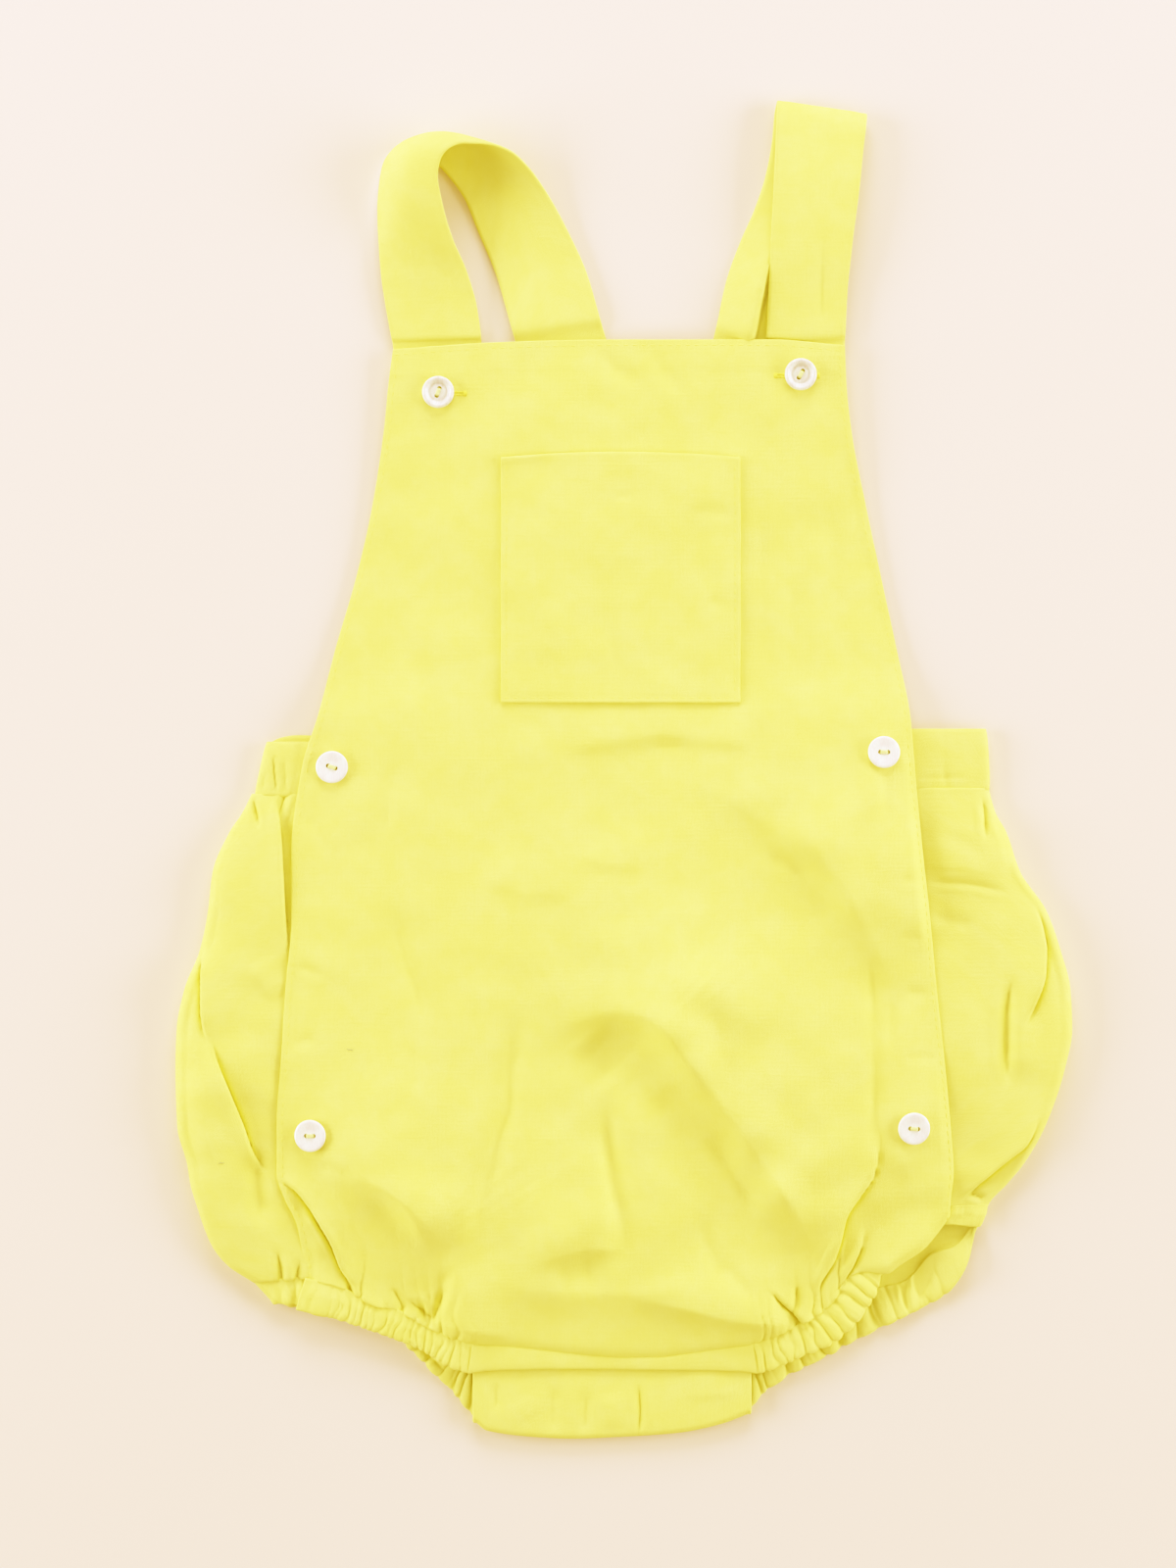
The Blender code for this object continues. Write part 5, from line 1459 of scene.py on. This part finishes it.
pocket = {
    "left": -42.2, "right": 38.8, "bottom": 22.2, "top": 105.4, "topBow": 1.8,
    "steps": (102, 106), "clear": 0.2,  # how far it stays clear of the bib
    "stitch": 1.6, "stitchDent": 0.16, "stitchWidth": 0.7, "hem": 12.0, "hemStep": 0.06,
    "puff": 0.35, "puffWidth": 12.0, "lumps": ((0.22, 15), (0.1, 7)),
    "wobble": 0.25, "wobbleSize": 16.0,  # how unevenly its sides run
    # how far its sides and its mouth stand off the bib, and where the mouth's left corner ends
    "sideGap": 0.3, "mouthGap": 0.35, "cornerTo": -34.0,
    "folds": (
        ("soft", 2.6, -0.5, (20, 87), (30, 87), (38, 83)),
        ("soft", 1.6, -0.5, (-4, 92), (3, 92)),
        ("soft", 3.4, -0.45, (-1, 74), (2, 64), (0, 56)),
        ("soft", 3.0, -0.45, (-6, 52), (-5, 40), (1, 30)),
        ("soft", 3.2, -0.4, (-34, 84), (-22, 86)),
        ("soft", 3.4, -0.4, (-20, 98), (-12, 94)),
        ("soft", 2.6, -0.45, (28, 58), (34, 54)),
    ),
}


def frontAt(x, y):
    # Height of the made front under places on the bib, where its grid is almost square.
    rows = frontPoints[..., 1].mean(axis=0)
    out = np.zeros_like(x)
    j = np.clip(np.searchsorted(rows, y) - 1, 0, len(rows) - 2)
    for k in np.unique(j):
        here = j == k
        t = np.clip((y[here] - rows[k]) / (rows[k + 1] - rows[k]), 0, 1)
        low = np.interp(x[here], frontPoints[:, k, 0], frontPoints[:, k, 2])
        high = np.interp(x[here], frontPoints[:, k + 1, 0], frontPoints[:, k + 1, 2])
        out[here] = low + (high - low) * t
    return out


def makePocket():
    look = pocket
    grid = []
    for place in np.linspace(0, 1, look["steps"][0]):
        x = look["left"] + (look["right"] - look["left"]) * place
        top = look["top"] + look["topBow"] * 4 * place * (1 - place)
        y = look["bottom"] + (top - look["bottom"]) * np.linspace(0, 1, look["steps"][1])
        grid.append(np.stack([np.full_like(y, x), y], axis=1))
    flat = np.stack(grid)
    x, y = flat[..., 0].copy(), flat[..., 1].copy()
    wobble = look["wobble"] * softNoise(x, y, look["wobbleSize"], 101)
    fromSide = np.minimum(x - x[:1], x[-1:] - x)
    fromEdge = np.minimum(fromSide, y - y[:, :1])
    fromTop = y[:, -1:] - y
    z = frontAt(x, y) + 2 * cloth + look["clear"] + look["puff"] * ease(fromEdge / look["puffWidth"])
    z = z + lumpsAt(x, y, look["lumps"], 102) + folded(x, y, look["folds"], 104)[0]
    z = z - look["stitchDent"] * bell((fromEdge - look["stitch"]) / look["stitchWidth"])
    z = z + look["hemStep"] * (1 - ease((fromTop - look["hem"]) / 1.2)) * ease(fromSide / 3)
    # the sides and the mouth stand off the bib, the left of the mouth most
    gaping = look["sideGap"] * (1 - ease(fromSide / 2.5))
    corner = 1.3 - ease((x - look["cornerTo"]) / 12)
    gaping = gaping + look["mouthGap"] * (1 - ease(fromTop / 3)) * corner
    z = z + gaping * (0.3 + 0.7 * ease((y - y[:, :1]) / 10))
    x = x + wobble * (1 - ease(fromSide / 6)) * 0.8
    points = np.stack([x, y, z], axis=2)
    made = clothSheet("pocket", points, cloth, cloth, flat + (200, 300), 12)
    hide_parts("pocket")
    return made, points


pocketPiece, pocketPoints = makePocket()
print("pocket made")


# buttons and their thread

buttonLook = {
    "radius": 5.5, "sides": 72, "holeRadius": 0.75, "holeSpacing": 2.6, "holeSides": 24,
    "clear": 0.05, "sharpFrom": 42,  # gap to the cloth, and the angle from which an edge stays sharp
    # strands of thread, how far apart in radii, how high over the dish, and how far in at the holes
    "thread": 0.24, "strands": 3, "strandsApart": 1.7, "threadLift": 0.34, "threadUneven": 0.12,
    "threadDip": 1.5,
    # radius and height of each profile, from the middle of its underside round to its dish
    "dished": ((0, 0), (4.4, 0), (5.1, 0.25), (5.45, 0.8), (5.5, 1.25), (5.35, 1.75), (5.0, 2.1),
               (4.6, 2.2), (4.2, 2.0), (3.85, 1.5), (3.5, 1.1), (3.1, 0.92), (2.75, 1.0), (2.5, 1.12),
               (1.6, 1.1), (0, 1.05)),
    "flat": ((0, 0), (4.4, 0), (5.1, 0.25), (5.45, 0.8), (5.5, 1.2), (5.4, 1.6), (5.1, 1.85), (4.7, 1.93),
             (4.2, 1.9), (3.4, 1.74), (2.6, 1.6), (1.6, 1.5), (0, 1.46)),
}
buttonRows = (
    ("BibLeft", "button_bib_left", -63.8, 127.8, 70, "dished"),
    ("BibRight", "button_bib_right", 59.5, 133.8, 60, "dished"),
    ("WaistLeft", "button_waist_left", -99.8, 0.2, -20, "flat"),
    ("WaistRight", "button_waist_right", 87.5, 5.2, 0, "flat"),
    ("HipLeft", "button_hip_left", -106.8, -124.8, 0, "flat"),
    ("HipRight", "button_hip_right", 97.5, -122.2, -5, "flat"),
)


def lathe(profile, sides):
    vertices = [(0, 0, profile[0][1])]
    for radius, height in profile[1:-1]:
        for i in range(sides):
            angle = 2 * math.pi * i / sides
            vertices.append((radius * math.cos(angle), radius * math.sin(angle), height))
    vertices.append((0, 0, profile[-1][1]))
    faces = []
    lastRing = len(profile) - 3
    for i in range(sides):
        j = (i + 1) % sides
        faces.append((0, 1 + j, 1 + i))
        for ring in range(lastRing):
            low, high = 1 + ring * sides, 1 + (ring + 1) * sides
            faces.append((low + i, low + j, high + j, high + i))
        top = 1 + lastRing * sides
        faces.append((top + i, top + j, len(vertices) - 1))
    return vertices, faces


def tube(path, radius, sides=7):
    # Vertices and faces of a closed round thread along a path, thinner at its two ends.
    path = np.asarray(path, float)
    run = unit(np.gradient(path, axis=0))
    up = np.where(np.abs(run[:, 2:]) > 0.9, [[1.0, 0, 0]], [[0, 0, 1.0]])
    side = unit(np.cross(up, run))
    top = np.cross(run, side)
    size = np.full(len(path), radius)
    size[[0, -1]] *= 0.45
    angle = 2 * math.pi * np.arange(sides) / sides
    rings = (path[:, None] + size[:, None, None] * (
        side[:, None] * np.cos(angle)[None, :, None] + top[:, None] * np.sin(angle)[None, :, None]))
    faces = []
    for i in range(len(path) - 1):
        for k in range(sides):
            a, b = i * sides + k, i * sides + (k + 1) % sides
            faces.append([a, b, b + sides, a + sides])
    last = (len(path) - 1) * sides
    faces.append(list(range(sides - 1, -1, -1)))
    faces.append(list(range(last, last + sides)))
    return rings.reshape(-1, 3), faces


def joined(parts):
    vertices, faces, start = [], [], 0
    for some, theirs in parts:
        vertices.append(np.asarray(some, float))
        faces += [[start + int(k) for k in face] for face in theirs]
        start += len(some)
    return np.concatenate(vertices), faces


def groundAt(x, y):
    # Height of the front's middle surface near one place.
    gap = np.hypot(frontPoints[..., 0] - x, frontPoints[..., 1] - y)
    return float(frontPoints[..., 2].reshape(-1)[gap.argmin()])


def restOnFront(x, y):
    # The tilt of the cloth under a button, and the height at which the button clears it.
    radius = buttonLook["radius"]
    reach = radius * 0.8
    slopeX = (groundAt(x + reach, y) - groundAt(x - reach, y)) / (2 * reach)
    slopeY = (groundAt(x, y + reach) - groundAt(x, y - reach)) / (2 * reach)
    angles = np.linspace(0, 2 * math.pi, 17)
    spots = [(radius * math.cos(a), radius * math.sin(a)) for a in angles] + [(0, 0)]
    highest = max(groundAt(x + dx, y + dy) - slopeX * dx - slopeY * dy for dx, dy in spots)
    return (math.atan(slopeY), -math.atan(slopeX), 0), highest + cloth + buttonLook["clear"]


def drilledButton(name, shape, turn):
    # A turned button with two holes cut through it, on a line at this angle.
    look = buttonLook
    blank = addObject("blank", newMesh(name, *lathe(look[shape], look["sides"])))
    radius, low, high = look["holeRadius"], -1, 4
    vertices, faces = lathe(((0, low), (radius, low), (radius, high), (0, high)), look["holeSides"])
    cutters = []
    for aside in (-look["holeSpacing"] / 2, look["holeSpacing"] / 2):
        centre = (aside * math.cos(turn), aside * math.sin(turn), 0)
        cutters.append(addObject("hole", newMesh("hole", np.array(vertices, float) + centre, faces)))
        cut = blank.modifiers.new("hole", "BOOLEAN")
        cut.operation = "DIFFERENCE"
        cut.solver = "EXACT"
        cut.object = cutters[-1]
    bpy.context.view_layer.update()
    whole = bpy.data.meshes.new_from_object(blank.evaluated_get(bpy.context.evaluated_depsgraph_get()))
    whole.name = name
    for old in [blank, *cutters]:
        bpy.data.objects.remove(old)
    whole.polygons.foreach_set("use_smooth", [True] * len(whole.polygons))
    whole.set_sharp_from_angle(angle=math.radians(look["sharpFrom"]))
    whole.materials.clear()
    whole.materials.append(shells[shape])
    return whole


def makeButton(label, node, x, y, slotDegrees, shape):
    look = buttonLook
    turn = math.radians(slotDegrees)
    tilt, rest = restOnFront(x, y)
    made = addObject("button" + label, drilledButton("button" + label, shape, turn))
    made.rotation_euler = tilt
    made.location = (mm * x, mm * y, mm * rest)
    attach(made, body)
    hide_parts(node)

    s = np.linspace(-1, 1, 15)
    along = (look["holeSpacing"] / 2 + 0.1) * s
    parts = []
    for strand in range(look["strands"]):
        aside = (strand - (look["strands"] - 1) / 2) * look["thread"] * look["strandsApart"]
        arch = look[shape][-1][1] + look["threadLift"] + look["threadUneven"] * (strand % 2)
        arch = arch - look["threadDip"] * np.abs(s) ** 7
        px = along * math.cos(turn) - aside * math.sin(turn)
        py = along * math.sin(turn) + aside * math.cos(turn)
        parts.append(tube(np.stack([px, py, arch], axis=1), look["thread"]))
    addMesh("thread" + label, *joined(parts), buttonThread, place=(x, y, rest), tilt=tilt)


for row in buttonRows:
    makeButton(*row)
print("buttons made")


# two bits of grey lint that have stuck to the cloth

lint = {
    "radius": 0.16, "lift": 0.1, "colours": ((0.30, 0.36, 0.20), (0.46, 0.50, 0.30)),
    "onFront": ((-94.6, -95.2), (-94.1, -95.7), (-93.4, -95.5), (-92.8, -95.9), (-92.5, -95.4)),
    "onBack": ((-138.2, -134.4), (-137.6, -133.9), (-136.9, -134.2), (-136.2, -133.8)),
}


def lyingOn(piece, path):
    # A path across a piece, seen from above, with its heights from the piece's own surface.
    mesh = piece.data
    tree = BVHTree.FromPolygons([v.co for v in mesh.vertices], [p.vertices for p in mesh.polygons])
    heights = [tree.ray_cast((mm * x, mm * y, 0.1), (0, 0, -1))[0][2] / mm for x, y in path]
    return [(x, y, height + lint["lift"]) for (x, y), height in zip(path, heights)]


def makeLint():
    surface = makeThreadMaterial("greyLint", lint["colours"])
    bits = ((frontPiece, lint["onFront"]), (backPiece, lint["onBack"]))
    parts = [tube(lyingOn(piece, path), lint["radius"], 6) for piece, path in bits]
    addMesh("lint", *joined(parts), surface)


makeLint()


# buttonholes on the bib, closely sewn round a slit

buttonholes = {
    "thread": 0.2, "pitch": 0.4, "half": 0.7, "apart": 0.12, "uneven": 0.12, "lifts": (0.02, 0.2, -0.02),
    # the bars across each end: how thick beside the thread, and how far to each side they go
    "barThread": 1.15, "bar": 1.05, "barLifts": (0.0, 0.3, 0.0),
    # left end, right end, y
    "places": ((-68.6, -54.6, 127.4), (51.0, 65.4, 133.4)),
}


def sewnThrough(spots, lifts, radius):
    # A thread over the front's cloth, so far above it at each of these places.
    return tube([(x, y, groundAt(x, y) + cloth + lift) for (x, y), lift in zip(spots, lifts)], radius, 5)


def makeButtonholes():
    look = buttonholes
    parts = []
    for left, right, y in look["places"]:
        for side in (-1, 1):
            for count, x in enumerate(np.arange(left, right, look["pitch"])):
                inner, outer = y + side * look["apart"], y + side * (look["apart"] + look["half"])
                lean = look["uneven"] * math.sin(count * 2.3)
                spots = [(x, inner), (x + lean / 2, (inner + outer) / 2), (x + lean, outer)]
                parts.append(sewnThrough(spots, look["lifts"], look["thread"]))
        for x in (left, right):
            for step in (-1, 0, 1):
                across = x + step * look["pitch"]
                spots = [(across, y + side * look["bar"]) for side in (-1, 0, 1)]
                parts.append(sewnThrough(spots, look["barLifts"], look["thread"] * look["barThread"]))
    addMesh("buttonholes", *joined(parts), brightThread)


makeButtonholes()


# stitching

stitchLook = {
    "length": 2.3, "pitch": 3.0, "radius": 0.17, "lift": -0.03,
    "dip": 0.22,  # how far a stitch's ends go into the cloth
    "first": 0.6, "last": 0.4,  # from the ends of the line
}


def lineAcross(points, inset, fromStart, axis):
    # The surface line that keeps this distance from one edge of a piece's grid.
    face = points + normalsOf(points) * cloth
    if axis == 1:
        face = face.transpose(1, 0, 2)
    if not fromStart:
        face = face[::-1]
    distance = travelled(face, 0)
    return np.array([[np.interp(inset, distance[:, k], face[:, k, c]) for c in range(3)]
                     for k in range(face.shape[1])])


def stitched(line):
    look = stitchLook
    distance = travelled(line[:, None], 0)[:, 0]
    parts = []
    start = look["first"]
    while start + look["length"] < distance[-1] - look["last"]:
        s = np.linspace(start, start + look["length"], 5)
        path = np.stack([np.interp(s, distance, line[:, c]) for c in range(3)], axis=1)
        path[:, 2] += look["lift"]
        path[[0, -1], 2] -= look["dip"]
        parts.append(tube(path, look["radius"], 6))
        start += look["pitch"]
    return parts


def makeStitches(name, points, inset, third):
    # Along both sides of a piece, and its top or its bottom.
    edges = ((True, 0), (False, 0), (third == "bottom", 1))
    parts = [part for first, axis in edges for part in stitched(lineAcross(points, inset, first, axis))]
    addMesh(name, *joined(parts), sewingThread)


makeStitches("stitchesFront", frontPoints, front["edgeStitch"], "top")
makeStitches("stitchesPocket", pocketPoints, pocket["stitch"], "bottom")
print("stitches made")
